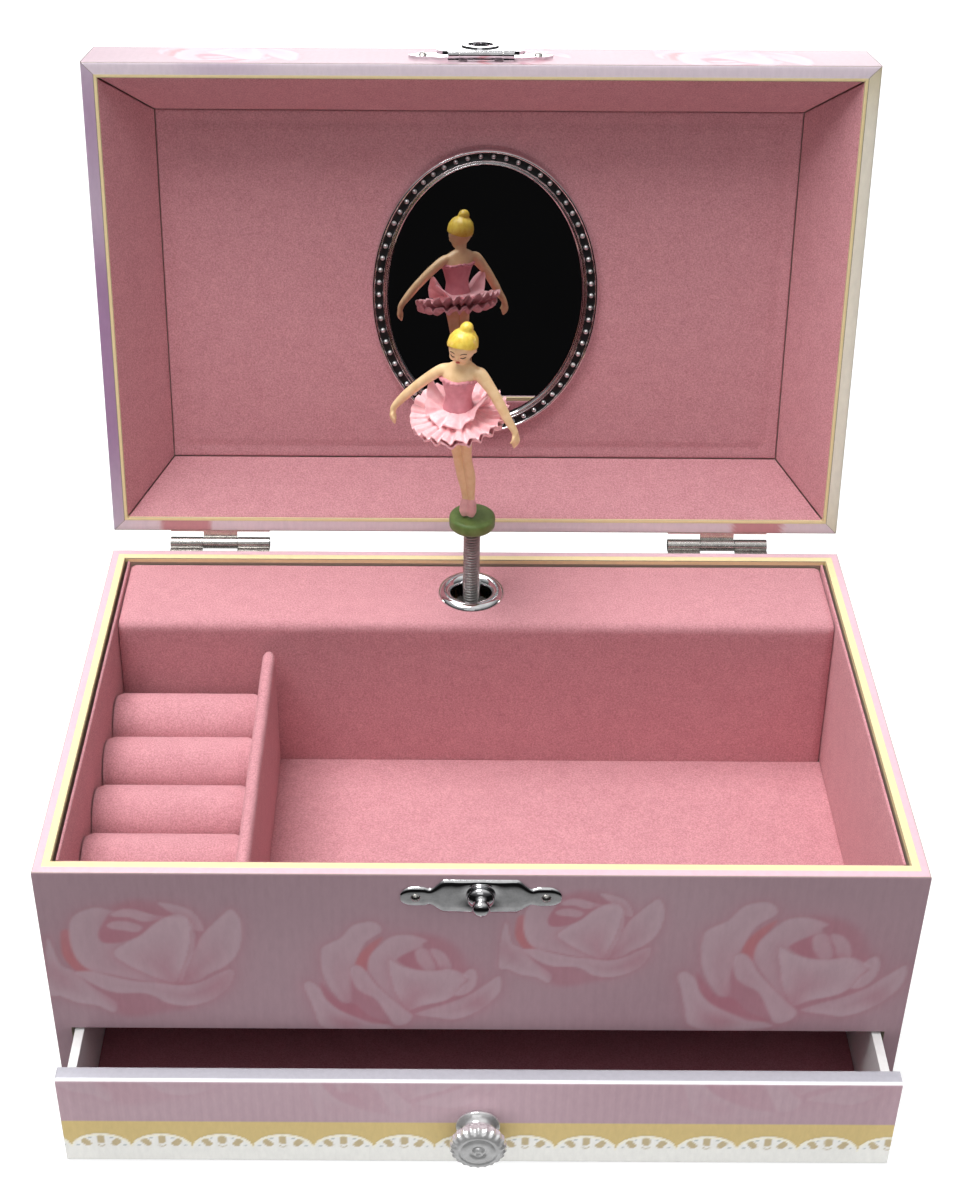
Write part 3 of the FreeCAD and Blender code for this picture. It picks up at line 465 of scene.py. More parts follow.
# A rose is drawn as petals from back to front, in millimetres from its centre. Each petal has a kind, a
# root that it darkens towards, and an outline that is smoothed through its points.
ROSE_ONE = [
    ("shade", (-2, 14), [(-7, 16), (-1.5, 18.2), (3, 16.6), (6, 14), (3, 12.6), (-1, 13.6), (-5, 14.6)]),
    ("petal", (9, 6), [(3, 17.2), (8.5, 15.6), (11, 13), (12.2, 9), (9.5, 9.5), (8, 12.5), (5, 14.6)]),
    ("petal", (7, -7), [(16.5, 13.5), (18.6, 15.2), (20.2, 12), (20.3, 7), (19, 2), (16.2, -2), (12.5, -4.4),
                        (10, -6.6), (6.5, -7.4), (5.8, -5), (7.8, -1), (9.7, 3.2), (11.6, 7.4), (14.2, 10.8)]),
    ("petal", (-24, -4), [(-22, 6), (-20, -1.5), (-17, -3.8), (-14.3, -8), (-11.3, -11), (-8.8, -13.8),
                          (-9.6, -16.8), (-13, -14.7), (-17.3, -13.7), (-20.8, -11.6), (-23.4, -10)]),
    ("salmon", (-17, 0), [(-18.8, 8), (-19.2, 2), (-18, -1.6), (-16.2, -3.8), (-13.4, -3.6), (-15.2, -1.6),
                          (-16.4, 1.2), (-16.9, 5), (-16.9, 8.6)]),
    ("shade", (-5, -17), [(-14, -8), (-10.5, -10), (-3, -10.8), (1, -13.2), (4.8, -14.6), (8, -15), (3, -16.3),
                          (-3, -18), (-7.5, -17.8), (-9.5, -15), (-12, -11.8)]),
    ("petal", (4.5, -9), [(-16.7, 10), (-15.6, 12.8), (-13.2, 14.7), (-10, 15.5), (-7, 14.6), (0, 14), (4, 13),
                          (8.5, 12.4), (10, 9), (9.5, 3), (7.5, -3), (5.6, -7.6), (0, -7.2), (-5, -6),
                          (-9, -4.8), (-13.3, -3.6), (-15.6, -1), (-16.9, 3), (-17.1, 7)]),
    ("deep", (-9, 6), [(-10.7, 7.3), (-9.6, 10.6), (-7.8, 13.6), (-4.8, 15), (-1.9, 14.7), (1, 13.3),
                       (2.8, 12.3), (0.6, 10.4), (-1.2, 8), (-3.6, 6.2), (-6.7, 4.9), (-9.8, 5)]),
    ("petal", (-9, 8), [(-8.6, 10.4), (-6.5, 11.5), (-3.7, 11.3), (-1.2, 10), (-2.4, 8.4), (-5.5, 8.8),
                        (-8, 9.2)]),
    ("petal", (3, 12), [(-7.6, 13.4), (-5, 15.1), (-2, 15), (1, 13.6), (2.8, 12.3), (-0.8, 11.6), (-3.6, 12.7),
                        (-6.4, 12.8)]),
    ("petal", (5, -8), [(-7.8, 1.6), (-5.1, 4.8), (-2, 7.1), (0.8, 10.2), (3.2, 12.3), (5.9, 13.6), (8.4, 13),
                        (9.1, 10.4), (8.8, 5.8), (7.6, 0.5), (6, -4.3), (4.6, -7.4), (1.2, -6), (-2.3, -3.8),
                        (-5.2, -1.6)]),
    ("petal", (16, -9), [(-16.8, -4), (-13.6, -3.7), (-9.2, -5.2), (-4, -6.8), (1.2, -7.5), (6.6, -8.2),
                         (10.6, -7), (14.6, -4.4), (17.4, -3.2), (17.4, -6.4), (15.2, -10.4), (11.8, -13.2),
                         (7, -14.6), (2.6, -13.8), (0, -11.7), (-3, -10.6), (-7.5, -10.6), (-10.4, -9.8),
                         (-13.2, -8), (-15.8, -5.6)]),
]
ROSE_TWO = [
    ("petal", (-12, -15), [(-21, -2), (-19.7, -0.8), (-17.5, -3), (-16, -6.9), (-12.6, -10.3), (-8.4, -12.8),
                           (-4.2, -14.3), (-2, -16), (-12, -17), (-17.6, -15.4), (-19, -10.8), (-20, -6)]),
    ("deep", (-13, -9), [(-17.4, -1), (-15.4, -4), (-12.8, -7.6), (-10, -8), (-7, -11.6), (-2.6, -14),
                         (-6, -14.4), (-10, -12.4), (-14, -9.6), (-16.6, -5.4)]),
    ("petal", (18, -8), [(3.5, -11.3), (8.4, -12.2), (12, -12.7), (16.2, -10.8), (20, -7), (22.2, -3), (22, 1),
                         (19, -1.5), (15.4, -4.9), (11.2, -7.4), (6.7, -9.4)]),
    ("petal", (-10, -8), [(-16.8, 9.4), (-15.1, 11), (-12.6, 12.6), (-9.8, 16.4), (-5.6, 17.4), (-3.7, 14.8),
                          (-7, 11.6), (-8.6, 8.4), (-9.5, 5.4), (-10.2, 3), (-10.8, -1), (-10.8, -6.9),
                          (-12.8, -7), (-15.2, -3), (-16.6, 1), (-17.1, 5.4)]),
    ("salmon", (-8, 5), [(-9.5, 4.8), (-8.5, 7.8), (-6.3, 10.8), (-3.5, 12.9), (-4.9, 9.9), (-6.3, 7.4),
                         (-6.9, 4.4), (-7.2, 2.4), (-8.4, 3.8)]),
    ("shade", (-8, -8), [(-10.5, 0.5), (-9.1, -3), (-5.6, -6.4), (-2.8, -11.8), (-2, -14.3), (-7, -12),
                         (-10.9, -9.9), (-11.2, -5.9)]),
    ("shade", (8, 10), [(3, 14), (8, 13.4), (12, 10.6), (14.4, 6), (14.6, 2), (12, 3), (9, 8), (5, 11)]),
    ("petal", (1, -11), [(-7, 4.9), (-6.3, 7.4), (-4.2, 10.3), (-2, 12.8), (0.4, 13.6), (3.2, 13.4), (6, 12),
                         (5, 10.4), (8, 5), (12, 2.4), (14.2, 1), (13.6, -3.4), (11.2, -5.9), (6.7, -7.9),
                         (3.5, -9.4), (1.6, -10.4), (0, -8.6), (-2.8, -4.6), (-5.3, -0.6), (-6.8, 2.4)]),
    ("deep", (1, 5.5), [(-0.6, 6.2), (1.4, 8.1), (4.2, 9.5), (6.7, 9.5), (8.8, 8.9), (10.4, 6.9), (11, 3.2),
                        (7.7, 2.8), (4.2, 2.9), (2.1, 3.7), (0.4, 4.8)]),
    ("petal", (4, 4), [(3.6, 9), (6, 9.4), (7.2, 6.6), (7.8, 3.2), (5.6, 2.9), (3.9, 5.4)]),
    ("petal", (9, 3), [(6.8, 9.5), (8.8, 9), (10.5, 6.9), (11.2, 3.3), (9, 3), (7.9, 5.9), (7, 7.9)]),
    ("petal", (1, -9), [(-2.2, 5.9), (0, 4.3), (3.2, 3), (7, 2.6), (11.2, 3.2), (14, 1.8), (15.2, 0.4),
                        (13.4, -2), (12.4, -4.4), (9.8, -6.9), (4.9, -8.4), (2, -9.9), (0.4, -7.4), (-1, -3.4),
                        (-1.6, 0), (-2.2, 3)]),
    ("petal", (16, -6), [(14, 1.6), (15.8, 3.4), (17, 1.5), (16.6, -2), (14.7, -4.6), (12.4, -5), (13.8, -2),
                         (15.2, 0)]),
    ("petal", (-9, -6), [(-10.7, 2.5), (-9.5, 4.3), (-7.7, 3), (-5.6, -1), (-2.5, -5.4), (0.7, -9.4),
                         (2.7, -11.8), (1.4, -14.3), (-1.2, -14.8), (-2.8, -11.8), (-5.3, -6.4), (-8.1, -4.4),
                         (-9.9, -2)]),
]


def closed_curve(points, per_side=7):
    """Smooth closed outline through given points."""
    points = np.array(points, float)
    n = len(points)
    return np.array([catmull_rom(*points[[i - 1, i, (i + 1) % n, (i + 2) % n]], k / per_side)
                     for i in range(n) for k in range(per_side)])


def signed_distance(x, z, outline):
    """Distance from points to a closed outline: positive inside."""
    distance = np.full(x.shape, 1e9)
    inside = np.zeros(x.shape, bool)
    following = np.roll(outline, -1, axis=0)
    for (ax, az), (bx, bz) in zip(outline, following):
        dx, dz = bx - ax, bz - az
        t = np.clip(((x - ax) * dx + (z - az) * dz) / max(dx * dx + dz * dz, 1e-12), 0, 1)
        distance = np.minimum(distance, np.hypot(x - ax - t * dx, z - az - t * dz))
        crosses = (az > z) != (bz > z)
        inside ^= crosses & (x < dx * (z - az) / (dz if dz else 1e-12) + ax)
    return np.where(inside, distance, -distance)


def paint_petal(colour, x, z, kind, root, outline, tone):
    """One petal over the colours so far, with the shadow that it casts on them."""
    edge = signed_distance(x, z, closed_curve(outline))
    if kind == "petal":
        shadow = np.exp(-np.clip(-edge, 0, None) / 1.1) * (edge < 0)
        colour = blend(colour, PETAL_DEEP * tone, 0.36 * shadow)
        reach = max(math.hypot(px - root[0], pz - root[1]) for px, pz in outline)
        toward = 1 - np.clip(np.hypot(x - root[0], z - root[1]) / reach, 0, 1)
        petal = np.ones_like(colour) * PETAL_LIGHT
        petal = blend(petal, PAPER_PINK, 0.3 * smoothstep(0.2, 4.0, edge))
        petal = blend(petal, PETAL_SHADE, 0.85 * smoothstep(0.25, 0.95, toward) * smoothstep(0.0, 4.5, edge))
        petal = blend(petal, PETAL_DEEP, 0.5 * smoothstep(0.68, 1.0, toward))
        return blend(colour, petal * tone, 0.66 * smoothstep(-0.5, 0.5, edge))
    fill, amount, soft = {"shade": (PETAL_DEEP, 0.5, 1.4), "deep": (PETAL_DEEP, 0.85, 0.5),
                          "salmon": (SALMON, 0.95, 0.45)}[kind]
    near_root = np.exp(-(np.hypot(x - root[0], z - root[1]) / 6.0) ** 2)
    return blend(colour, fill * tone, amount * smoothstep(-soft, soft, edge) * (0.7 + 0.3 * near_root))


def paint_rose(colour, x, z, centre, size, drawing, tone=1.0):
    """One of the two rose drawings, with slightly uneven lines; size scales it and tone tints it."""
    u = (x - centre[0]) / size + 0.25 * soft_noise(x, z, 3.0, 2)
    v = (z - centre[1]) / size + 0.25 * soft_noise(z, x, 3.0, 4)
    half_width, half_height = 36, 28       # nothing of a rose or its halo shows past these
    near = (np.abs(u) < half_width) & (np.abs(v) < half_height)
    if not near.any():
        return colour
    local, lu, lv = colour[near], u[near], v[near]
    halo = np.exp(-((lu / 19) ** 2 + (lv / 15) ** 2) ** 1.5)
    local = blend(local, PETAL_SHADE * tone, 0.5 * halo)
    for kind, root, outline in drawing:
        local = paint_petal(local, lu, lv, kind, root, outline, tone)
    colour = colour.copy()
    colour[near] = local
    return colour


def stripes(colour, x, amount=0.045):
    """Fine upright stripes of the wallpaper-like ground."""
    broad, narrow = 2.3, 0.77       # widths of the two sets of stripes
    wave = 0.5 + 0.5 * np.sin(x * 2 * math.pi / broad)
    fine = 0.5 + 0.5 * np.sin(x * 2 * math.pi / narrow + 0.8 * np.sin(x / 9.0))
    return colour * (1 - amount * (0.65 * wave + 0.35 * fine)[..., None])


def ground(x, z, seed):
    """Cloudy pink ground of the paper."""
    cloud = smoothstep(-0.5, 0.7, soft_noise(x, z, 16.0, seed))
    colour = blend(plain(x, PAPER_PINK), PAPER_LIGHT, 0.4 * cloud)
    return blend(colour, PETAL_SHADE, 0.22 * smoothstep(0.0, 0.9, soft_noise(x, z, 22.0, seed + 3)))


FRONT_TONE = np.array([0.80, 0.72, 0.73])
FRONT_ROSES = [((-71.8, 49.4), 1.0, ROSE_ONE), ((-17.5, 43.6), 1.0, ROSE_TWO),
               ((23.0, 56.2), 0.8, ROSE_ONE), ((67.9, 47.3), 1.155, ROSE_TWO)]


def front_print(x, z):
    """Front of the base: four roses on the striped ground."""
    colour = stripes(ground(x, z, 5), x) * FRONT_TONE
    for centre, size, drawing in FRONT_ROSES:
        colour = paint_rose(colour, x, z, centre, size, drawing, FRONT_TONE)
    return colour


def rose_field(roses, seed, lift=1.0):
    """A print with its own list of roses."""
    def paint(x, z):
        colour = stripes(ground(x, z, seed), x)
        for centre, size, drawing in roses:
            colour = paint_rose(colour, x, z, centre, size, drawing)
        return np.clip(colour * lift, 0, 0.95)
    return paint


GOLD_TOP = 14.2                 # height of the gold band's upper edge
LACE_PITCH = 13.6               # from one scallop to the next
LACE_SHIFT = 2.9                # where the scallops start
LACE_LOW, LACE_RISE = 5.2, 4.6  # foot of the scallops, and how far they rise over it


def lace_print(x, z):
    """Drawer front: striped ground with the feet of the roses, a gold band and a lace border."""
    colour = stripes(ground(x, z, 5), x, 0.07) * np.array([1.22, 1.17, 1.17])
    for centre, size, drawing in FRONT_ROSES:
        faint = paint_rose(colour, x, z, (centre[0], centre[1] - 12.0), size, drawing)
        colour = blend(colour, faint, 0.3 * smoothstep(13.0, 22.0, z))
    colour = blend(colour, GOLD, smoothstep(0.0, 0.25, GOLD_TOP - z))
    local = (x + LACE_SHIFT + 0.5 * LACE_PITCH) % LACE_PITCH - 0.5 * LACE_PITCH
    depth = LACE_LOW + LACE_RISE * np.sqrt(np.clip(1 - (local / (0.5 * LACE_PITCH)) ** 2, 0, 1)) - z
    colour = blend(colour, GOLD * 0.78, 0.5 * np.exp(-((depth + 0.25) / 0.16) ** 2))
    colour = blend(colour, LACE, smoothstep(-0.12, 0.12, depth))
    edge = smoothstep(0.0, 0.3, depth) * (1 - smoothstep(0.55, 0.9, depth))
    colour = blend(colour, np.array(linear(252, 246, 220)), 0.8 * edge)
    for angle, px, pz in ((-36.0, -3.4, 6.9), (0.0, 0.0, 7.9), (36.0, 3.4, 6.9)):
        a = math.radians(angle)
        along = (local - px) * math.sin(a) + (z - pz) * math.cos(a)
        across = (local - px) * math.cos(a) - (z - pz) * math.sin(a)
        hole = smoothstep(-0.12, 0.12, 1.0 - np.sqrt((along / 1.3) ** 4 + (across / 0.85) ** 4))
        colour = blend(colour, LACE_HOLE, 0.9 * hole)
    for px, pz in ((-2.4, 8.35), (2.4, 8.35), (-5.2, 5.9), (5.2, 5.9)):
        dot = smoothstep(-0.2, 0.2, 1 - np.hypot(local - px, z - pz) / 0.34)
        colour = blend(colour, LACE_DOT, 0.8 * dot)
    smile = np.exp(-((np.hypot(local, z - 6.4) - 0.85) / 0.16) ** 2) * (z < 6.1)
    return blend(colour, LACE_HOLE * 0.85, 0.85 * smile)


def rim_print(x, z):
    return plain(x, RIM_PINK)


def mottled_rim(base, patch, slant, scale, seed, low, high, amount=1.0):
    """Rim of the lid in one colour, with soft patches of another."""
    return lambda x, z: blend(plain(x, base), patch,
                              amount * smoothstep(low, high, soft_noise(x, x * slant, scale, seed)))


def lid_rim_near_hinge(x, z):
    """Pink rim with two slanting ribbon bars."""
    colour = plain(x, np.array(linear(240, 220, 228)))
    for middle in (-74.0, 76.0):
        bar = smoothstep(-0.6, 0.6, 6.5 - np.abs(x - middle))
        colour = blend(colour, RIBBON, 0.75 * bar)
    return colour


LID_RIMS = {
    "front": mottled_rim(np.array(linear(238, 224, 234)), LILAC, 0.3, 9.0, 4, 0.1, 0.5),
    "back": lid_rim_near_hinge,
    "left": mottled_rim(PURPLE, np.array(linear(232, 222, 232)), 0.2, 14.0, 6, -0.2, 0.6),
    "right": mottled_rim(np.array(linear(250, 244, 226)), OLIVE, 0.2, 14.0, 7, -0.1, 0.5, 0.8),
}


# ---- paper wraps ---------------------------------------------------------------------
FACES = {                       # point at s along a face, out from its plane and at height z
    "front": lambda s, out, z: (s, -HY - out, z),
    "back": lambda s, out, z: (-s, HY + out, z),
    "left": lambda s, out, z: (-HX - out, -s, z),
    "right": lambda s, out, z: (HX + out, s, z),
}
CORNER = 0.45                   # radius of the paper's turn over a rim


def wrap(name, length, low, high, place, painter, body, step, rim=1.75, matrix=None, rim_colour=rim_print):
    """Paper on one outer face of a box of boards, turned over the rim.

    place is one of FACES or like them. The face spans -length..length and the turned edge is mitred."""
    rows = [(PAPER, low)]
    straight = max(2, int((high - CORNER - low) / step))
    for i in range(1, straight + 1):
        rows.append((PAPER, low + (high + PAPER - CORNER - low) * i / straight))
    for i in range(1, 5):
        angle = math.pi / 2 * i / 4
        rows.append((PAPER - CORNER + CORNER * math.cos(angle),
                     high + PAPER - CORNER + CORNER * math.sin(angle)))
    rows += [(-0.5 * rim, high + PAPER), (-rim, high + PAPER)]
    columns = max(2, int(2 * length / step))
    points, flat = [], []
    for out, z in rows:
        half = length + out
        for j in range(columns + 1):
            s = -half + 2 * half * j / columns
            points.append(place(s, out, z))
            flat.append((s, z))
    x, z = np.array(flat).T
    colours = painter(x, z)
    turned = np.arange(len(points)) // (columns + 1) > straight + 1
    colours[turned] = rim_colour(x, z)[turned]
    if matrix is not None:
        points = moved(points, matrix)
    return make(name, points, grid_faces(len(rows), columns + 1), M["print"], body, (), True,
                colours)


def edge_band(name, half_x, half_y, top, width_out, width_in, body, matrix=None):
    """The cream inner band of a rim, mitred round the four sides and turned down inside."""
    profile = [(width_out, top + PAPER - 0.02), (width_out + 0.1, top + PAPER + 0.005),
               (width_in - 0.35, top + PAPER + 0.005), (width_in - 0.08, top + PAPER - 0.05),
               (width_in + 0.02, top - 0.25), (width_in + 0.02, top - 1.2)]
    points = []
    for inset, z in profile:
        points += level(inset - half_x, inset - half_y, half_x - inset, half_y - inset, z)
    if matrix is not None:
        points = moved(points, matrix)
    return make(name, points, grid_faces(len(profile), 4, True), M["cream"], body, (), False)


def opening_paper():
    """Paper beside, above and below the drawer's opening."""
    out, side = HY + PAPER, HX + PAPER

    def upright(x0, x1, high):
        return [(x0, -out, 0), (x1, -out, 0), (x1, -out, high), (x0, -out, high)]

    points = upright(-INNER_X, -side, OPENING_TOP) + upright(INNER_X, side, OPENING_TOP)
    points += [(-side, -out, OPENING_TOP), (side, -out, OPENING_TOP), (side, -INNER_Y, OPENING_TOP - 0.05),
               (-side, -INNER_Y, OPENING_TOP - 0.05)]
    points += upright(-INNER_X, INNER_X, BASE_LOW[2] + 3.0)
    x, _, z = np.array(points).T
    faces = [tuple(range(k, k + 4)) for k in range(0, len(points), 4)]
    make("opening_paper", points, faces, M["print"], "case", (), False, front_print(x, z))


def base_papers():
    wrap("front_paper", HX, OPENING_TOP, BASE_TOP, FACES["front"], front_print, "case", 0.45)
    sides = rose_field([((-30, 45), 1.1, ROSE_TWO), ((28, 52), 0.9, ROSE_ONE)], 12)
    backs = rose_field([((-60, 44), 1.1, ROSE_TWO), ((-8, 30), 0.8, ROSE_ONE), ((52, 50), 1.0, ROSE_ONE)], 21)
    for side, length, paint in (("left", HY, sides), ("right", HY, sides), ("back", HX, backs)):
        wrap(side + "_paper", length, 0.0, BASE_TOP, FACES[side], paint, "case", 0.8)
    edge_band("base_rim_edge", HX, HY, BASE_TOP, 1.75, HX - INNER_X, "case")
    opening_paper()


def lid_papers():
    """Papers of the lid, laid out on the closed lid. Its sides are papered from the top down to the rim."""
    top = LID_RIM + LID_H
    roses = [((-60, 80), 0.8, ROSE_ONE), ((5, 86), 0.75, ROSE_TWO), ((62, 82), 0.85, ROSE_ONE)]
    light = rose_field(roses, 31, 1.12)
    for side, face in FACES.items():
        wrap("lid_%s_paper" % side, LID_HX if side in ("front", "back") else HY, LID_RIM, top,
             lambda s, out, z, face=face: face(s, out, LID_RIM + top - z), light, "lid", 0.8, LID_RIM_PRINT,
             OPEN, LID_RIMS[side])
    upside_down = OPEN @ Matrix.Translation((0, 0, 2 * LID_RIM)) @ Matrix.Diagonal((1, 1, -1, 1))
    edge_band("lid_rim_edge", LID_HX, HY, LID_RIM, LID_RIM_PRINT, LID_HX - LID_INNER_X, "lid", upside_down)
    lid_top_paper(top + PAPER)


def lid_top_paper(height):
    """The big printed face of the lid."""
    step = 0.9
    columns = int(2 * LID_HX / step)
    rows = int(2 * HY / step)
    points = []
    for i in range(rows + 1):
        for j in range(columns + 1):
            points.append((-LID_HX - PAPER + (2 * LID_HX + 2 * PAPER) * j / columns,
                           -HY - PAPER + (2 * HY + 2 * PAPER) * i / rows, height))
    x, y = np.array(points).T[:2]
    paint = rose_field([((-52, 5), 1.8, ROSE_ONE), ((22, -22), 1.4, ROSE_TWO), ((62, 26), 1.2, ROSE_ONE),
                        ((5, 38), 0.9, ROSE_TWO)], 41)
    near_edge = np.maximum(np.abs(x) - LID_HX, np.abs(y) - HY)
    gold_line = smoothstep(-6.4, -6.1, near_edge) * (1 - smoothstep(-5.0, -4.7, near_edge))
    make("lid_top_paper", moved(points, OPEN), grid_faces(rows + 1, columns + 1), M["print"], "lid", (),
         True, blend(paint(x, y), GOLD, gold_line))


# ---- felt ----------------------------------------------------------------------------
def felt_patch(name, corners, body, replaced, swell=0.25, roll=0.7, depth=0.8, grooves=(), matrix=None,
               material="felt", step=1.6, seed=0):
    """Padded felt card on four corners, counter-clockwise seen from its face. Edges roll down."""
    a, b, c, d = [Vector(p) for p in corners]
    normal = (b - a).cross(d - a).normalized()
    width = max((b - a).length, (c - d).length)
    height = max((d - a).length, (c - b).length)
    columns = max(6, int(width / step))
    rows = max(6, int(height / step))

    def spread(count, size):
        inner = [roll / size * k / 3 for k in range(3)]
        middle = [roll / size + (1 - 2 * roll / size) * k / count for k in range(count + 1)]
        return inner + middle + [1 - v for v in reversed(inner)]

    us, vs = spread(columns, width), spread(rows, height)
    points = []
    for v in vs:
        for u in us:
            point = (a * (1 - u) + b * u) * (1 - v) + (d * (1 - u) + c * u) * v
            near = min(u * width, (1 - u) * width, v * height, (1 - v) * height)
            drop = depth * (1 - math.sqrt(max(0.0, 1 - (1 - min(near, roll) / roll) ** 2)))
            lift = swell * (16 * u * (1 - u) * v * (1 - v)) ** 0.5
            lift += 0.06 * noise.noise(point * 0.05 + Vector((seed, 0, 0)))
            for inset, wide, deep in grooves:
                lift -= deep * math.exp(-((near - inset) / wide) ** 2)
            points.append(point + normal * (lift - drop))
    if matrix is not None:
        points = moved(points, matrix)
    return make(name, points, grid_faces(len(vs), len(us)), M[material], body, replaced)


def base_felts():
    """Felt on the compartment's floor and on three of its walls."""
    x, y = LINING_IN_X, LINING_IN_Y
    low, high = FLOOR_TOP - 0.6, LINING_TOP - 0.2
    skin = 0.12                 # how far the felt stands off its lining card
    felt_patch("floor_felt", level(-x, -y, x, FLOOR_BACK, FLOOR_TOP), "case", ("compartment_floor_lining",),
               0.1, 0.5, 0.4)
    walls = (("front", (x, -y + skin), (-x, -y + skin)), ("left", (-x + skin, -y), (-x + skin, INNER_Y)),
             ("right", (x - skin, INNER_Y), (x - skin, -y)))
    for seed, (side, start, end) in enumerate(walls, 1):
        felt_patch(side + "_felt", [(*start, low), (*end, low), (*end, high), (*start, high)], "case",
                   (side + "_lining",), 0.15, 0.6, 0.5, seed=seed)


def step_section():
    """Section of the step's felt as (y, z): up the leaning front and round a soft fold; back along the top."""
    fold = 2.6
    foot, corner = Vector((STEP_FRONT, FLOOR_TOP - 0.5)), Vector((STEP_FRONT + 3.5, STEP_TOP))
    lean = Vector((corner.x - STEP_FRONT, STEP_TOP - FLOOR_TOP)).normalized()
    start, end, back = corner - lean * fold, corner + Vector((fold, 0)), Vector((STEP_BACK, STEP_TOP))
    front = [foot.lerp(start, k / 25) for k in range(26)]
    bend = [start * (1 - t) ** 2 + corner * (2 * t * (1 - t)) + end * t ** 2
            for t in (k / 8 for k in range(1, 9))]
    return front + bend, [end.lerp(back, k / 16) for k in range(1, 17)]


def step_felt():
    """Felt over the step, with a hole under the dancer."""
    rising, on_top = step_section()
    profile = rising + on_top
    columns, hole, edge = 150, 7.4, 0.8
    points = []
    for i, p in enumerate(profile):
        along = (profile[min(i + 1, len(profile) - 1)] - profile[max(i - 1, 0)]).normalized()
        normal = Vector((0, -along.y, along.x))
        for j in range(columns + 1):
            x = -STEP_HALF + 2 * STEP_HALF * j / columns
            near = min(STEP_HALF - abs(x), edge) / edge
            drop = 0.6 * (1 - math.sqrt(max(0.0, 1 - (1 - near) ** 2)))
            lift = 0.12 + 0.10 * noise.noise(Vector((x * 0.04, p.x * 0.08, p.y * 0.08)))
            point = Vector((x, *p)) + normal * (lift - drop)
            flat = Vector((point.x - DANCER_X, point.y - DANCER_Y))
            if i >= len(rising) and 0.01 < flat.length < hole:
                flat = flat.normalized() * hole
                point.x, point.y = DANCER_X + flat.x, DANCER_Y + flat.y
            points.append(point)
    faces = []
    for face in grid_faces(len(profile), columns + 1):
        centre = sum((points[i] for i in face), Vector()) / 4
        inside = math.hypot(centre.x - DANCER_X, centre.y - DANCER_Y) < hole - 0.05
        if not (inside and centre.z > STEP_TOP - 2):
            faces.append(face)
    make("step_felt", points, faces, M["felt"], "case", ("rear_platform",))


def padded_slab(low, high, crown, long_axis, seed, puff=0.35, square=2.0):
    """A foam bar wrapped in felt: straight sides, a rounded crown and pulled-in ends.

    low and high are the box corners, crown the height of the rounded part, long_axis 0 for x or 1 for y."""
    wide_axis = 1 - long_axis
    half = (high[wide_axis] - low[wide_axis]) / 2
    middle = (high[wide_axis] + low[wide_axis]) / 2
    shoulder = high[2] - crown
    wall, arch = 7, 18
    section = [(1.0, low[2] + (shoulder - low[2]) * k / wall) for k in range(wall)]
    for k in range(arch + 1):
        c, s = math.cos(math.pi * k / arch), math.sin(math.pi * k / arch)
        section.append((math.copysign(abs(c) ** (2 / square), c), shoulder + crown * abs(s) ** (2 / square)))
    section += [(-1.0, shoulder - (shoulder - low[2]) * (k + 1) / wall) for k in range(wall)]
    length = high[long_axis] - low[long_axis]
    count = max(14, int(length / 1.5))
    points = []
    for i in range(count + 1):
        t = i / count
        near = min(t, 1 - t) * length
        pull = 1 - math.sqrt(max(0.0, 1 - (1 - min(near, 1.6) / 1.6) ** 2))
        for w, z in section:
            ripple = 0.10 * noise.noise(Vector((t * length * 0.14, w * 1.3 + seed, z * 0.1)))
            point = [0, 0, z - (0.5 * pull + ripple) * (z > shoulder)]
            point[wide_axis] = middle + w * (half * (1 - 0.04 * pull) - puff * pull + ripple - 0.1)
            point[long_axis] = low[long_axis] + length * t
            points.append(tuple(point))
    n = len(section)
    ends = [tuple(range(n)), tuple(reversed(range(count * n, count * n + n)))]
    return points, grid_faces(count + 1, n) + ends


def rolls_and_divider():
    """The divider, and the ring rolls one behind another from the step to the front lining."""
    points, faces = padded_slab(*span("divider"), 2.4, 1, 3, 0.2, 2.4)
    divider = make("divider_felt", points, faces, M["felt"], "case", ("divider",))
    low, high = span("ring_rolls")
    pitch = 17.25
    back = high[1]
    k = 0
    while back > low[1] + 4:
        front = max(back - pitch + 0.5, low[1])
        crown = min((back - front) / 2, 8.4)
        height = high[2] + 0.25 * math.sin(2.3 * k)
        points, faces = padded_slab((low[0], front + 0.1, FLOOR_TOP), (high[0], back - 0.1, height), crown, 0,
                                    5 + k)
        k += 1
        roll = make("ring_roll_felt_%d" % k, points, faces, M["felt"], "case", ("ring_rolls",))
        back -= pitch


def lid_felts():
    """The flat panel with its pressed double line, and four sloping felts round it."""
    ix, iy = LID_INNER_X, LID_INNER_Y
    px, py = LID_PANEL_X, LID_PANEL_Y
    rim, deep = LID_RIM + 0.3, LID_DEEP
    pressed_lines = ((2.6, 0.28, 0.3), (3.6, 0.28, 0.3))
    felt_patch("lid_panel_felt", level(-px, py, px, -py, deep), "lid", ("lid_panel_lining",), 0.35, 0.5, 0.3,
               pressed_lines, OPEN, step=1.0)
    slopes = (("front", (-1, -1), (1, -1)), ("back", (1, 1), (-1, 1)), ("left", (-1, 1), (-1, -1)),
              ("right", (1, -1), (1, 1)))
    for seed, (side, (sx, sy), (ex, ey)) in enumerate(slopes, 11):
        corners = [(sx * ix, sy * iy, rim), (sx * px, sy * py, deep), (ex * px, ey * py, deep),
                   (ex * ix, ey * iy, rim)]
        felt_patch("lid_%s_felt" % side, corners, "lid", ("lid_%s_lining" % side,), 0.2, 0.5, 0.4, (), OPEN,
                   seed=seed)


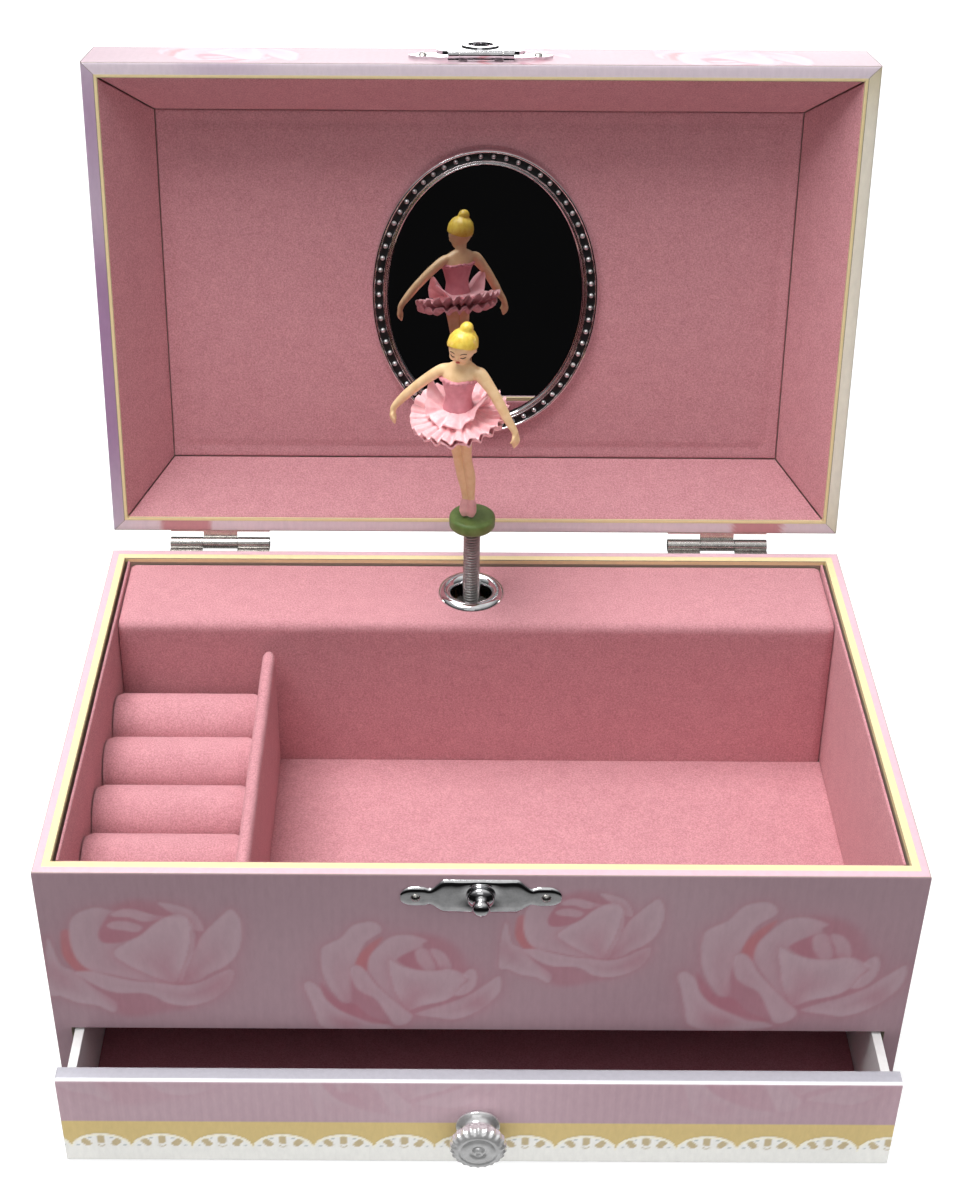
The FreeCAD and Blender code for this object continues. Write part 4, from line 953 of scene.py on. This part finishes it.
# ---- mirror --------------------------------------------------------------------------
def mirror():
    """Beaded oval frame: plated lip, black channel with beads, double inner lip; and the glass."""
    outer_a, outer_b = 29.2, 37.75
    steps = 160

    def ring(profile, name, material, replaced=()):
        """An oval moulding from (inset, rise) pairs, facing out of the lid."""
        points = []
        for inset, rise in profile:
            for angle in turn(steps):
                c, s = math.cos(angle), math.sin(angle)
                normal = Vector((outer_b * c, outer_a * s)).normalized()
                points.append((MIRROR_X + outer_a * c - normal.x * inset,
                               MIRROR_Y + outer_b * s - normal.y * inset, LID_DEEP - rise))
        make(name, moved(points, OPEN), flipped(grid_faces(len(profile), steps, True)), material, "lid",
             replaced)

    ring([(0.0, -0.2), (0.0, 1.2), (0.15, 1.8), (0.5, 2.2), (0.85, 2.1), (1.0, 1.7), (1.0, 1.2)],
         "mirror_frame_lip", M["chrome"], ("mirror_frame",))
    ring([(0.9, 1.3), (1.3, 1.15), (2.5, 1.15), (2.9, 1.3)], "mirror_frame_channel", M["channel"])
    ring([(2.8, 1.1), (2.85, 1.8), (3.05, 2.1), (3.25, 1.8), (3.35, 1.5), (3.5, 1.8), (3.7, 2.0),
          (3.95, 1.75), (4.15, 1.3), (4.2, 0.9)], "mirror_frame_inner_lips", M["chrome"])

    count, bead_inset = 62, 1.9
    angles = np.linspace(0, 2 * math.pi, 2001)
    bx, by = (outer_a - bead_inset) * np.cos(angles), (outer_b - bead_inset) * np.sin(angles)
    run = np.concatenate([[0], np.cumsum(np.hypot(np.diff(bx), np.diff(by)))])
    evenly = [int(np.searchsorted(run, run[-1] * k / count)) for k in range(count)]
    points, faces = merge([ball((MIRROR_X + bx[i], MIRROR_Y + by[i], LID_DEEP - 1.5), 0.64, 10, 12)
                           for i in evenly])
    make("mirror_frame_beads", moved(points, OPEN), faces, M["bead"], "lid", ())

    # the pane leans a little, so that the reflected dancer stands where the real one's does
    glass = [(MIRROR_X + 25.2 * math.cos(angle), MIRROR_Y + 33.9 * math.sin(angle),
              LID_DEEP - 1.15 + 0.7 * math.sin(angle)) for angle in turn(steps)]
    make("mirror_pane", moved(glass, OPEN), [tuple(reversed(range(steps)))], M["mirror"], "lid",
         ("mirror_glass",), False)


# ---- metal ---------------------------------------------------------------------------
def outward(points, y, z):
    """Turns a shape made along +Z to stand out towards -Y from (0, y, z)."""
    return [(p[0], y - p[2], z + p[1]) for p in points]


def latch_half_height(x):
    """Half the latch plate's height at x: a tall middle, a waist and rounded ends."""
    across = abs(x)
    half = 2.75 + 2.0 * (1 - float(smoothstep(7.6, 10.6, across)))
    half -= 0.45 * math.exp(-((across - 11.0) / 0.8) ** 2)
    if across > 14.4:
        half *= math.sqrt(max(0.0, 1 - ((across - 14.4) / 3.0) ** 2))
    return half


def base_latch():
    """Pressed latch plate with a rolled edge, an arched and dished middle, and its turned stud."""
    half_length, arch_half, arch, thick = 17.4, 6.2, 0.1, 0.8
    xs = [half_length * math.sin(math.pi / 2 * k / 56) for k in range(-56, 57)]
    across = [-1, -0.97, -0.9, -0.78, -0.5, -0.25, 0, 0.25, 0.5, 0.78, 0.9, 0.97, 1]
    points = []
    for x in xs:
        half = max(latch_half_height(x), 0.02)
        rise = arch * math.sqrt(1 - (x / arch_half) ** 2) if abs(x) < arch_half else 0.0
        for s in across:
            roll = (1 - abs(s) ** 9) ** 0.5 * min(1.0, half / 1.2)
            dish = 0.55 * math.exp(-((x / 3.6) ** 2 + (s * half / 3.6) ** 2) ** 2)
            points.append((x, s * half, (thick + rise - dish) * roll))
    make("base_latch_plate_shaped", outward(points, -HY, LATCH_Z), flipped(grid_faces(len(xs), len(across))),
         M["chrome"], "case", ("base_latch_plate",))
    stud = [(2.9, 0.9), (2.95, 1.25), (2.6, 1.7), (1.9, 2.0), (1.35, 2.35), (1.2, 2.8), (1.45, 3.2),
            (1.85, 3.7), (1.95, 4.2), (1.75, 4.7), (1.2, 5.05), (0.5, 5.2), (0.05, 5.22)]
    points, faces = lathe(stud, 40)
    make("latch_stud_turned", outward(points, -HY, LATCH_Z), faces, M["chrome"], "case", ("latch_stud",))


def knob():
    """Turned chrome knob with a ribbed rim and rings on its face."""
    ribs, depth = 22, 0.42
    low, high = 4.5, 7.4        # heights between which the rim is ribbed

    def ripple(angle, radius, height):
        if not (low < height < high and radius > 4.6):
            return radius
        groove = depth / 6.2 * min(1.0, (height - low) / 0.5, (high + 0.05 - height) / 0.4)
        return radius * (1 - groove * (0.5 + 0.5 * math.cos(ribs * angle)) ** 0.7)

    profile = [(4.9, 0.0), (5.0, 0.35), (4.85, 0.75), (4.2, 1.1), (3.7, 1.7), (3.45, 2.4), (3.6, 3.1),
               (4.3, 3.8), (5.3, 4.25), (6.0, 4.6), (6.35, 5.1), (6.4, 5.9), (6.25, 6.5), (5.8, 7.05),
               (5.1, 7.4), (4.5, 7.55), (4.2, 7.5), (3.95, 7.3), (3.75, 7.45), (3.3, 7.6), (2.2, 7.65),
               (1.75, 7.55), (1.6, 7.3), (1.4, 7.45), (1.0, 7.9), (0.55, 8.0), (0.45, 7.8), (0.05, 7.75)]
    points, faces = lathe(profile, ribs * 10, ripple)
    middle = (KNOB_LOW[2] + KNOB_HIGH[2]) / 2
    make("drawer_knob_turned", outward(points, DRAWER_LOW[1], middle), faces, M["knob"], "drawer",
         ("drawer_knob",))


def grommet():
    """Rolled plated ring in the step's hole."""
    profile = [(4.9, -4.0), (4.9, -0.6), (5.1, 0.2), (5.5, 0.9), (6.1, 1.35), (6.8, 1.5), (7.5, 1.35),
               (8.1, 1.0), (8.5, 0.5), (8.6, 0.05)]
    steps = 64
    points = [(DANCER_X + radius * math.cos(angle), DANCER_Y + radius * math.sin(angle), STEP_TOP + height)
              for radius, height in profile for angle in turn(steps)]
    make("grommet_ring", points, flipped(grid_faces(len(profile), steps, True)), M["chrome"], "case",
         ("grommet",))


def spring():
    """Close-wound coil from inside the grommet up to the disc."""
    wire, pitch, radius = 0.36, 0.82, 1.78
    low = span("ballerina_spring")[0][2] + wire
    high = DISC_LOW[2] - wire
    turns = (high - low) / pitch
    count = int(turns * 18)
    path = []
    for k in range(count + 1):
        angle = 2 * math.pi * turns * k / count
        path.append((DANCER_X + radius * math.cos(angle), DANCER_Y + radius * math.sin(angle),
                     low + (high - low) * k / count))
    points, faces = tube(path, [wire] * len(path), 7)
    coil = make("ballerina_coil", points, faces, M["steel"], None, ("ballerina_spring",))
    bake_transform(coil)


# ---- dancer --------------------------------------------------------------------------
# The figure is modelled upright at the origin, facing -Y, then leaned, turned and set on the disc.
STAND = (Matrix.Translation((DANCER_X, DANCER_Y, DISC_HIGH[2] + 0.14))
         @ Matrix.Rotation(math.radians(-4.4), 4, "Y") @ Matrix.Rotation(math.radians(-21.0), 4, "Z"))


def stood(points):
    """Stands the upright figure on the disc: it leans from the feet and straightens above the waist."""
    out = []
    foot_shift, waist, straighten = -0.6, 29.0, 0.085
    for p in points:
        place = STAND @ Vector(p)
        height = p[2]
        place.x += straighten * max(0.0, height - waist) + foot_shift
        place.x += float(smoothstep(36, 44, height)) - 0.9 * float(smoothstep(3, 20, height))
        place.z += 1.2 * float(smoothstep(16, 40, height))
        out.append(place)
    return out


def moulding(name, parts, material, voxel=0.22, replaced=(), smooth_steps=4):
    """Joins closed shapes into one smooth moulding by remeshing, then stands it on the disc."""
    points, faces = merge(parts)
    mesh = bpy.data.meshes.new(name + "_rough")
    mesh.from_pydata([tuple(p) for p in points], [], faces)
    rough = bpy.data.objects.new(name + "_rough", mesh)
    scene.collection.objects.link(rough)
    remesh = rough.modifiers.new("join", "REMESH")
    remesh.mode = "VOXEL"
    remesh.voxel_size = voxel
    even = rough.modifiers.new("even", "SMOOTH")
    even.factor = 0.6
    even.iterations = smooth_steps
    evaluated = rough.evaluated_get(bpy.context.evaluated_depsgraph_get())
    joined = bpy.data.meshes.new_from_object(evaluated)
    bpy.data.objects.remove(rough)
    points = stood([v.co for v in joined.vertices])
    faces = [tuple(p.vertices) for p in joined.polygons]
    return make(name, points, faces, material, "dancer", replaced)


TORSO = ((27.0, 4.1, 3.3), (29.0, 4.2, 3.2), (31.5, 3.15, 2.5), (33.2, 2.95, 2.3), (35.5, 3.6, 2.8),
         (37.4, 4.2, 3.2), (39.0, 4.5, 2.7), (40.2, 4.7, 2.1), (41.2, 3.2, 1.8), (42.0, 1.7, 1.5),
         (44.0, 1.4, 1.35))     # height above the feet, half width, half depth


def torso_radii(height):
    """Half width and half depth of the trunk at a height above the feet."""
    heights, wide, deep = zip(*TORSO)
    return float(np.interp(height, heights, wide)), float(np.interp(height, heights, deep))


def trunk(low, high, extra=0.0, count=26):
    """The trunk between two heights, thickened by extra."""
    steps = 28
    points = []
    for i in range(count):
        z = low + (high - low) * i / (count - 1)
        a, b = torso_radii(z)
        points += [((a + extra) * math.cos(angle), (b + extra) * math.sin(angle), z) for angle in turn(steps)]
    return points, capped_faces(count, steps)


def sided(side, points):
    """Points of the right side as they are, or mirrored where side is -1."""
    return [(side * x, y, z) for x, y, z in points]


def leg(side):
    """Straight leg up on its toe, as far as the shoe."""
    path = curve_through(sided(side, [(0.75, -0.4, 3.0), (0.85, 0.1, 6.0), (1.1, 0.5, 11.0), (1.25, 0.1, 16.0),
                                      (1.5, 0.0, 22.0), (1.9, 0.0, 28.0)]), 26)
    radii = np.interp([p[2] for p in path], [3, 6, 11, 14, 16.5, 22, 28],
                      [0.8, 0.9, 1.35, 1.25, 1.15, 1.55, 2.0])
    return tube(path, list(radii), 16)


REACH = {-1: (0.6, 2.4), 1: (-1.2, 0.2)}       # how far each hand is moved out and up


def reached(side, path):
    """An arm's points on its own side, moved the way the hand goes, more the nearer they are to it."""
    out, up = REACH[side]
    shares = [float(smoothstep(39.5, 25.0, p[2])) for p in path]
    return [(side * p[0] + side * out * share, p[1], p[2] + up * share) for p, share in zip(path, shares)]


def arm(side):
    """Arm held down and out, with the wrist bent and the hand drooping."""
    path = curve_through(reached(side, [(3.4, 0.0, 39.5), (5.4, 0.0, 38.7), (8.6, -0.3, 35.6),
                                        (12.0, -0.7, 31.4), (14.6, -1.0, 27.8), (15.9, -1.2, 25.8),
                                        (16.1, -1.5, 24.0), (15.7, -1.8, 22.4)]), 40)
    t = np.linspace(0, 1, len(path))
    wrist = 0.76
    radii = np.interp(t, [0, 0.1, 0.3, 0.5, 0.68, wrist, 0.86, 0.94, 1.0],
                      [1.5, 1.6, 1.3, 1.15, 0.85, 0.85, 1.15, 0.95, 0.45])
    return tube(path, list(radii), 14, lambda i: (1.0, 0.72) if t[i] > wrist else (1.0, 1.0))


def fingers(side):
    """Thumb and two finger ridges on the drooping hand."""
    out = []
    for across, low in ((-0.9, 23.6), (0.1, 22.1), (0.8, 22.4)):
        path = curve_through(reached(side, [(16.0 + 0.25 * across, -1.4 + 0.7 * across, 25.0),
                                            (16.1 + 0.2 * across, -1.8 + 0.8 * across, low + 0.9),
                                            (15.5 + 0.3 * across, -2.0 + 0.8 * across, low)]), 10)
        out.append(tube(path, list(np.linspace(0.5, 0.32, 10)), 8))
    return out


HEAD = Vector((0.0, -0.9, 46.3))
TILT = (Matrix.Translation(HEAD) @ Matrix.Rotation(math.radians(14), 4, "X")
        @ Matrix.Rotation(math.radians(5), 4, "Y") @ Matrix.Scale(1.14, 4))


def tilted(parts):
    """Sets parts modelled round the head's middle on the neck."""
    return [(moved(points, TILT), faces) for points, faces in parts]


def dancer():
    """The moulded figure: body, shoes and bodice, then hair, face, skirt and disc."""
    skull = ball((0, 0, 0.4), 3.15, 16, 22, (0.92, 1.0, 1.12))
    jaw = ball((0, -0.75, -1.75), 1.95, 14, 20, (0.98, 0.95, 1.0))
    nose = ball((0, -3.05, -0.55), 0.36, 8, 10, (0.8, 1.3, 1.6))
    cheeks = [ball((s * 1.15, -1.75, -1.0), 1.1, 10, 12) for s in (-1, 1)]
    ears = [ball((s * 2.85, 0.2, -0.5), 0.55, 8, 10, (0.5, 0.8, 1.2)) for s in (-1, 1)]
    head = tilted([skull, jaw, nose] + cheeks + ears)
    neck = tube(curve_through([(0, 0.2, 40.6), (0, 0.1, 42.2), (0, -0.5, 44.6)], 10), [1.55] * 10, 16)
    skin = [trunk(27.0, 41.8), neck, leg(-1), leg(1), arm(-1), arm(1)] + head + fingers(-1) + fingers(1)
    moulding("ballerina_body", skin, M["skin"], 0.22, replaced=("ballerina_figure",))

    shoes = []
    for side in (-1, 1):
        path = curve_through(sided(side, [(0.75, -0.2, 4.6), (0.9, -0.6, 3.2), (0.95, -1.1, 1.7),
                                          (0.8, -1.5, 0.25)]), 14)
        radii = np.interp(np.linspace(0, 1, 14), [0, 0.3, 0.7, 1.0], [0.9, 1.2, 1.3, 0.75])
        shoes.append(tube(path, list(radii), 16))
    moulding("ballerina_shoes", shoes, M["shoe"], 0.2)

    bust = [trunk(28.4, 38.0, 0.28)]
    a, b = torso_radii(37.6)
    for angle in turn(22):
        bust.append(ball(((a + 0.25) * math.cos(angle), (b + 0.25) * math.sin(angle),
                          37.7 + 0.22 * math.sin(5 * angle)), 0.62, 8, 10, (1, 1, 0.8)))
    for side in (-1, 1):
        bust.append(ball((side * 1.75, -2.1, 36.9), 1.55, 12, 14, (1, 0.85, 0.9)))
    moulding("ballerina_bodice", bust, M["bodice"], 0.2)
    hair()
    face()
    tutu()
    disc()


def hair():
    """Hair drawn up from the brow to a bun, with combed grooves."""
    points = []
    rings, steps = 22, 60
    for i in range(rings + 1):
        t = i / rings
        for angle in turn(steps):
            front = 0.5 - 0.5 * math.sin(angle)
            brow = 0.9 + 0.75 * front ** 3 - 2.7 * (1 - front) ** 1.2
            polar = t * (math.pi / 2 - math.asin(max(-0.9, min(0.9, brow / 3.6))))
            polar = max(polar, 0.001)
            groove = 0.06 * math.sin(15 * angle) * math.sin(math.pi * min(t, 0.98))
            r = 3.42 + groove + 0.12 * math.sin(math.pi * t)
            points.append((r * 0.95 * math.sin(polar) * math.cos(angle),
                           r * 1.02 * math.sin(polar) * math.sin(angle), 0.45 + r * 1.12 * math.cos(polar)))
    cap_faces = flipped(grid_faces(rings + 1, steps, True))
    inner = [(p[0] * 0.8, p[1] * 0.8, p[2] * 0.8) for p in points]
    wall = grid_faces(rings + 1, steps, True, len(points))
    last = rings * steps
    rim = []
    for j in range(steps):
        k = (j + 1) % steps
        rim.append((last + j, last + k, len(points) + last + k, len(points) + last + j))
    cap = (points + inner, cap_faces + wall + rim)
    coil = []
    for k in range(40):
        angle = 2 * math.pi * 2.2 * k / 39
        radius = 1 - 0.5 * k / 39
        coil.append((0.35 + radius * math.cos(angle), 1.3 + radius * math.sin(angle), 3.9 + 0.9 * k / 39))
    bun = tube(coil, [0.5] * 40, 10)
    core = ball((0.35, 1.3, 4.1), 1.45, 12, 16)
    moulding("ballerina_hair", tilted([cap, bun, core]), M["hair"], 0.17, smooth_steps=2)


def face():
    """Painted brows, lowered lids and lips, as thin raised strokes on a generic doll's face."""
    dark = []
    for side in (-1, 1):
        brow = curve_through(sided(side, [(0.55, -3.0, 0.55), (1.2, -2.85, 0.8), (1.85, -2.45, 0.55)]), 9)
        dark.append(tube(brow, [0.1] * 9, 6))
        lid = curve_through(sided(side, [(0.6, -2.95, -0.25), (1.15, -2.85, -0.42), (1.7, -2.5, -0.2)]), 9)
        dark.append(tube(lid, [0.13] * 9, 6))
    moulding("ballerina_brows", tilted(dark), M["brow"], 0.08, smooth_steps=1)
    lips = [ball((0, -2.72, -1.95), 0.52, 8, 12, (1.0, 0.45, 0.42))]
    moulding("ballerina_lips", tilted(lips), M["lip"], 0.08, smooth_steps=1)


def frill(inner, outer, waves, height, seed, rise, thick=0.7):
    """A ruffled ring with thickness: rise(t, angle) lifts it from the waist, t going out to the edge."""
    rings, steps = 20, 320
    top, bottom = [], []
    for i in range(rings + 1):
        t = i / rings
        for angle in turn(steps):
            wave = waves * angle + 0.8 * math.sin(3 * angle + seed) + 0.5 * math.sin(7 * angle)
            scallop = abs(math.sin(0.5 * wave)) ** 0.7
            radius = inner + (outer - inner) * t
            radius *= 1 + (0.05 * (scallop - 0.5) + 0.025 * math.sin(5 * angle + seed)) * t
            ruffle = (0.55 * math.sin(wave) + 0.2 * math.sin(2 * wave + 1)) * min(1.0, 1.3 * t)
            z = height + rise(t, angle) + ruffle
            x, y = radius * math.cos(angle), radius * math.sin(angle) * 0.96
            depth = thick * (1 - 0.35 * t)
            top.append((x, y, z + depth / 2))
            bottom.append((x, y, z - depth / 2))
    n = len(top)
    faces = grid_faces(rings + 1, steps, True) + flipped(grid_faces(rings + 1, steps, True, n))
    for ring in (0, rings):
        for j in range(steps):
            a, b = ring * steps + j, ring * steps + (j + 1) % steps
            faces.append((a, b, n + b, n + a) if ring else (b, a, n + a, n + b))
    return top + bottom, faces


def tutu():
    """Moulded skirt: a full ring that turns up at the back, with two upright frills at the sides."""
    def skirt(t, angle):
        back = max(0.0, math.sin(angle))
        front = max(0.0, -math.sin(angle))
        sag = -1.7 * math.sin(0.5 * math.pi * min(1.0, 1.5 * t))
        return sag + (1.2 + 1.6 * back) * t ** 3 - 1.9 * front * t ** 1.5

    def under(t, angle):
        front = max(0.0, -math.sin(angle))
        return -1.2 - 1.9 * math.sin(0.5 * math.pi * t) + 1.5 * t ** 4 - 1.6 * front * t ** 1.5

    def sides(t, angle):
        lift = abs(math.cos(angle + 0.12)) ** 5
        back = max(0.0, math.sin(angle)) ** 2
        return -0.9 * t + (6.2 * lift + 0.8 * back) * t ** 1.1

    parts = [frill(3.6, 11.8, 24, 29.6, 0.4, skirt), frill(3.6, 11.2, 19, 29.2, 1.3, under, 1.0),
             frill(3.3, 7.9, 11, 29.6, 2.0, sides, 0.9)]
    moulding("ballerina_frills", parts, M["tutu"], 0.2, ("ballerina_tutu",), 1)


def disc():
    """The green disc under the dancer's feet, with a soft rim."""
    radius = (DISC_HIGH[0] - DISC_LOW[0]) / 2
    high = DISC_HIGH[2] - DISC_LOW[2]
    profile = [(radius - 1.6, 0.0), (radius - 0.35, 0.05), (radius - 0.05, 0.4), (radius, 1.2),
               (radius, high - 0.9), (radius - 0.12, high - 0.45), (radius - 0.5, high - 0.12),
               (radius - 1.0, high), (radius - 1.6, high - 0.12), (1.0, high - 0.15)]
    points, faces = lathe(profile, 64)
    make("ballerina_stand", [(p[0] + DANCER_X, p[1] + DANCER_Y, p[2] + DISC_LOW[2]) for p in points], faces,
         M["green"], "dancer", ("ballerina_disc",))


# ---- drawer --------------------------------------------------------------------------
def drawer():
    """Paper on the drawer front, white on its top edge and sides, and dark felt inside.
    The white top edge is coloured grey as painted shade, with a near-white painted highlight along its
    front corner; the dark felt is a darker copy of the pink felt, as painted shade.
    """
    half = (DRAWER_HIGH[0] - DRAWER_LOW[0]) / 2 + PAPER
    face, rear = DRAWER_LOW[1] - PAPER, DRAWER_HIGH[1] - 0.02
    low, top = DRAWER_LOW[2], DRAWER_HIGH[2] + PAPER
    corner, count = 0.8, 62

    def over_edge(y, k, steps, towards):
        """A point of the rounded top edge, turning away from y."""
        angle = math.pi / 2 * k / steps
        return y + towards * corner * math.cos(angle), top - corner + corner * math.sin(angle)

    lower = low + 0.3
    rows = [(face + 0.3, low), (face, lower)]
    rows += [(face, lower + (top - corner - lower) * i / count) for i in range(1, count + 1)]
    rows += [over_edge(face + corner, k, 5, -1) for k in range(1, 6)]
    rows.append((rear - corner, top))
    rows += [over_edge(rear - corner, k, 4, 1) for k in (3, 2, 1, 0)]
    rows.append((rear, low))
    columns = 460
    points = [(-half + 2 * half * j / columns, y, z) for y, z in rows for j in range(columns + 1)]
    x, y, z = np.array(points).T
    colours = lace_print(x, z)
    # the rows over the top edge and down the back are white paper; they are coloured grey as painted shade
    white = np.arange(len(points)) // (columns + 1) > count + 2
    colours[white] = np.array(linear(190, 189, 198))
    # the rows at the rounded front corner of the top edge are near-white: a painted highlight line
    colours[white & (y < face + 0.95 * corner)] = np.array(linear(252, 252, 255))
    ends = [[i * (columns + 1) + j for i in range(len(rows))] for j in (0, columns)]
    faces = grid_faces(len(rows), columns + 1) + [tuple(reversed(ends[0])), tuple(ends[1])]
    make("drawer_front_paper", points, faces, M["print"], "drawer", ("drawer_front",), True,
         colours)
    felt_low, felt_high = span("drawer_felt")
    # the drawer's floor felt is the darker copy of the pink felt, as painted shade
    felt_patch("drawer_floor_felt", level(*felt_low[:2], *felt_high), "drawer", ("drawer_felt",), 0.1, 0.5,
               0.4, material="felt_painted_shade", seed=21)


# ---- materials of the CAD nodes that stay --------------------------------------------
SIDES = ("front", "back", "left", "right")
KEPT = {
    "board": ["%s_%s_board" % (part, side) for part in ("base", "lid") for side in SIDES]
    + ["base_bottom_board", "compartment_shelf", "lid_top_board"],
    "white": ["drawer_left_side", "drawer_right_side", "drawer_back", "drawer_bottom"],
    "nickel": ["hinge_%s_%s_leaf" % (side, part) for side in ("left", "right") for part in ("base", "lid")]
    + ["hinge_pins", "base_nails", "lid_nails", "hasp_pin", "knob_screw", "winding_key", "movement_bedplate"],
    "chrome": ["lid_latch_plate", "hasp"],
    "steel": ["comb", "movement_screws"],
    "brass": ["music_cylinder", "dancer_spindle", "mainspring_drum", "governor_fan"],
}


def dress_kept_nodes():
    for key, names in KEPT.items():
        for name in names:
            node = NODES[name]
            node.data.materials.clear()
            node.data.materials.append(M[key])


# ---- stage, light and camera ---------------------------------------------------------
def white_stage(name, points, faces):
    """A pale sheet that only the camera sees."""
    mesh = bpy.data.meshes.new(name)
    mesh.from_pydata(points, [], faces)
    sheet = bpy.data.objects.new(name, mesh)
    scene.collection.objects.link(sheet)
    s = Shade("white_" + name)
    s.colour((0.3, 0.3, 0.3)).set(Roughness=0.9, Specular_IOR_Level=0.0, Emission_Color=(1, 1, 1, 1),
                                  Emission_Strength=0.86)
    mesh.materials.append(s.material)
    sheet.visible_diffuse = False
    sheet.visible_glossy = False
    return sheet


def stage():
    """A white ground with a wall far round it, so that the box is lit as if cut out of a dim room."""
    size, wall, sides = 8.0, 7.0, 48
    white_stage("ground", level(-size, -size, size, size, 0), [(0, 1, 2, 3)])
    points = [(wall * math.cos(angle), wall * math.sin(angle), z)
              for z in (-1.0, wall) for angle in turn(sides)]
    backdrop = white_stage("backdrop", points, grid_faces(2, sides, True))
    backdrop.visible_shadow = False


def area_light(name, place, aim, size, watts):
    """A rectangular lamp that the camera doesn't see. Places and sizes are in metres."""
    data = bpy.data.lights.new(name, "AREA")
    data.shape = "RECTANGLE"
    data.size, data.size_y = size
    data.energy = watts
    light = bpy.data.objects.new(name, data)
    scene.collection.objects.link(light)
    light.visible_camera = False
    light.location = place
    light.rotation_euler = (Vector(aim) - Vector(place)).to_track_quat("-Z", "Y").to_euler()
    return light


LIGHTS = (                      # name, place, aim, size and power; metres and watts
    ("overhead", (-0.30, 0.04, 1.1), (0, 0.02, 0.05), (0.8, 0.6), 13.4),
    ("front_fill", (-0.15, -1.4, 0.75), (0, 0, 0.1), (0.9, 0.4), 0.7),
    ("table_bounce", (0.0, -0.27, 0.02), (0, -0.07, 0.025), (0.5, 0.12), 0.56),
    ("back_fill", (0.2, 1.6, 0.4), (0, 0.06, 0.09), (1.2, 0.5), 8.0),
    ("left_fill", (-1.4, 0.6, 0.13), (-0.09, 0.04, 0.07), (0.8, 0.2), 4.0),
    ("right_fill", (1.4, 0.6, 0.13), (0.09, 0.04, 0.07), (0.8, 0.2), 4.0),
)
# How bright the room is from straight down (0) over eye level (0.5) to straight up (1).
ROOM = ((0.10, (0.5, 0.5, 0.5, 1)), (0.24, (0.008, 0.008, 0.00824, 1)), (0.48, (0.008, 0.008, 0.00824, 1)),
        (0.66, (0.13, 0.13, 0.1339, 1)), (0.95, (1.0, 1.0, 1.0, 1)))


def room():
    """Bright overhead, dark at eye level, with a pale table right under the box."""
    world = bpy.data.worlds.new("studio")
    world.use_nodes = True
    tree = world.node_tree
    background = tree.nodes["Background"]
    background.inputs["Strength"].default_value = 0.75
    coordinates, split, height, ramp = [tree.nodes.new("ShaderNode" + kind) for kind in
                                        ("TexCoord", "SeparateXYZ", "MapRange", "ValToRGB")]
    height.inputs["From Min"].default_value = -1.0
    for source, target in ((coordinates.outputs["Generated"], split.inputs["Vector"]),
                           (split.outputs["Z"], height.inputs["Value"]),
                           (height.outputs["Result"], ramp.inputs["Fac"]),
                           (ramp.outputs["Color"], background.inputs["Color"])):
        tree.links.new(source, target)
    stops = ramp.color_ramp.elements
    for stop, (place, colour) in zip(stops, (ROOM[0], ROOM[-1])):
        stop.position, stop.color = place, colour
    for place, colour in ROOM[1:-1]:
        stops.new(place).color = colour
    scene.world = world


def lights():
    """The room and six lamps; the one that stands for the pale table isn't seen in the metal."""
    room()
    for lamp in LIGHTS:
        area_light(*lamp)
    bpy.data.objects["table_bounce"].visible_glossy = False


def camera():
    """Looks down at the open box from in front."""
    data = bpy.data.cameras.new("camera")
    data.sensor_width, data.lens = 36.0, 57.8
    data.shift_x, data.shift_y = 0.0316, -0.0263
    view = bpy.data.objects.new("camera", data)
    scene.collection.objects.link(view)
    ahead = Vector((0.0005, 0.8220, -0.5695))
    roll = Matrix.Rotation(math.radians(0.32), 3, "Z")
    view.location = (-0.0084, -0.3578, 0.3596)
    view.rotation_euler = (ahead.to_track_quat("-Z", "Y").to_matrix() @ roll).to_euler()
    scene.camera = view
    scene.view_settings.view_transform = "Standard"


stage()
lights()
camera()
dress_kept_nodes()
base_papers()
lid_papers()
base_felts()
step_felt()
rolls_and_divider()
lid_felts()
mirror()
base_latch()
knob()
grommet()
spring()
dancer()
drawer()
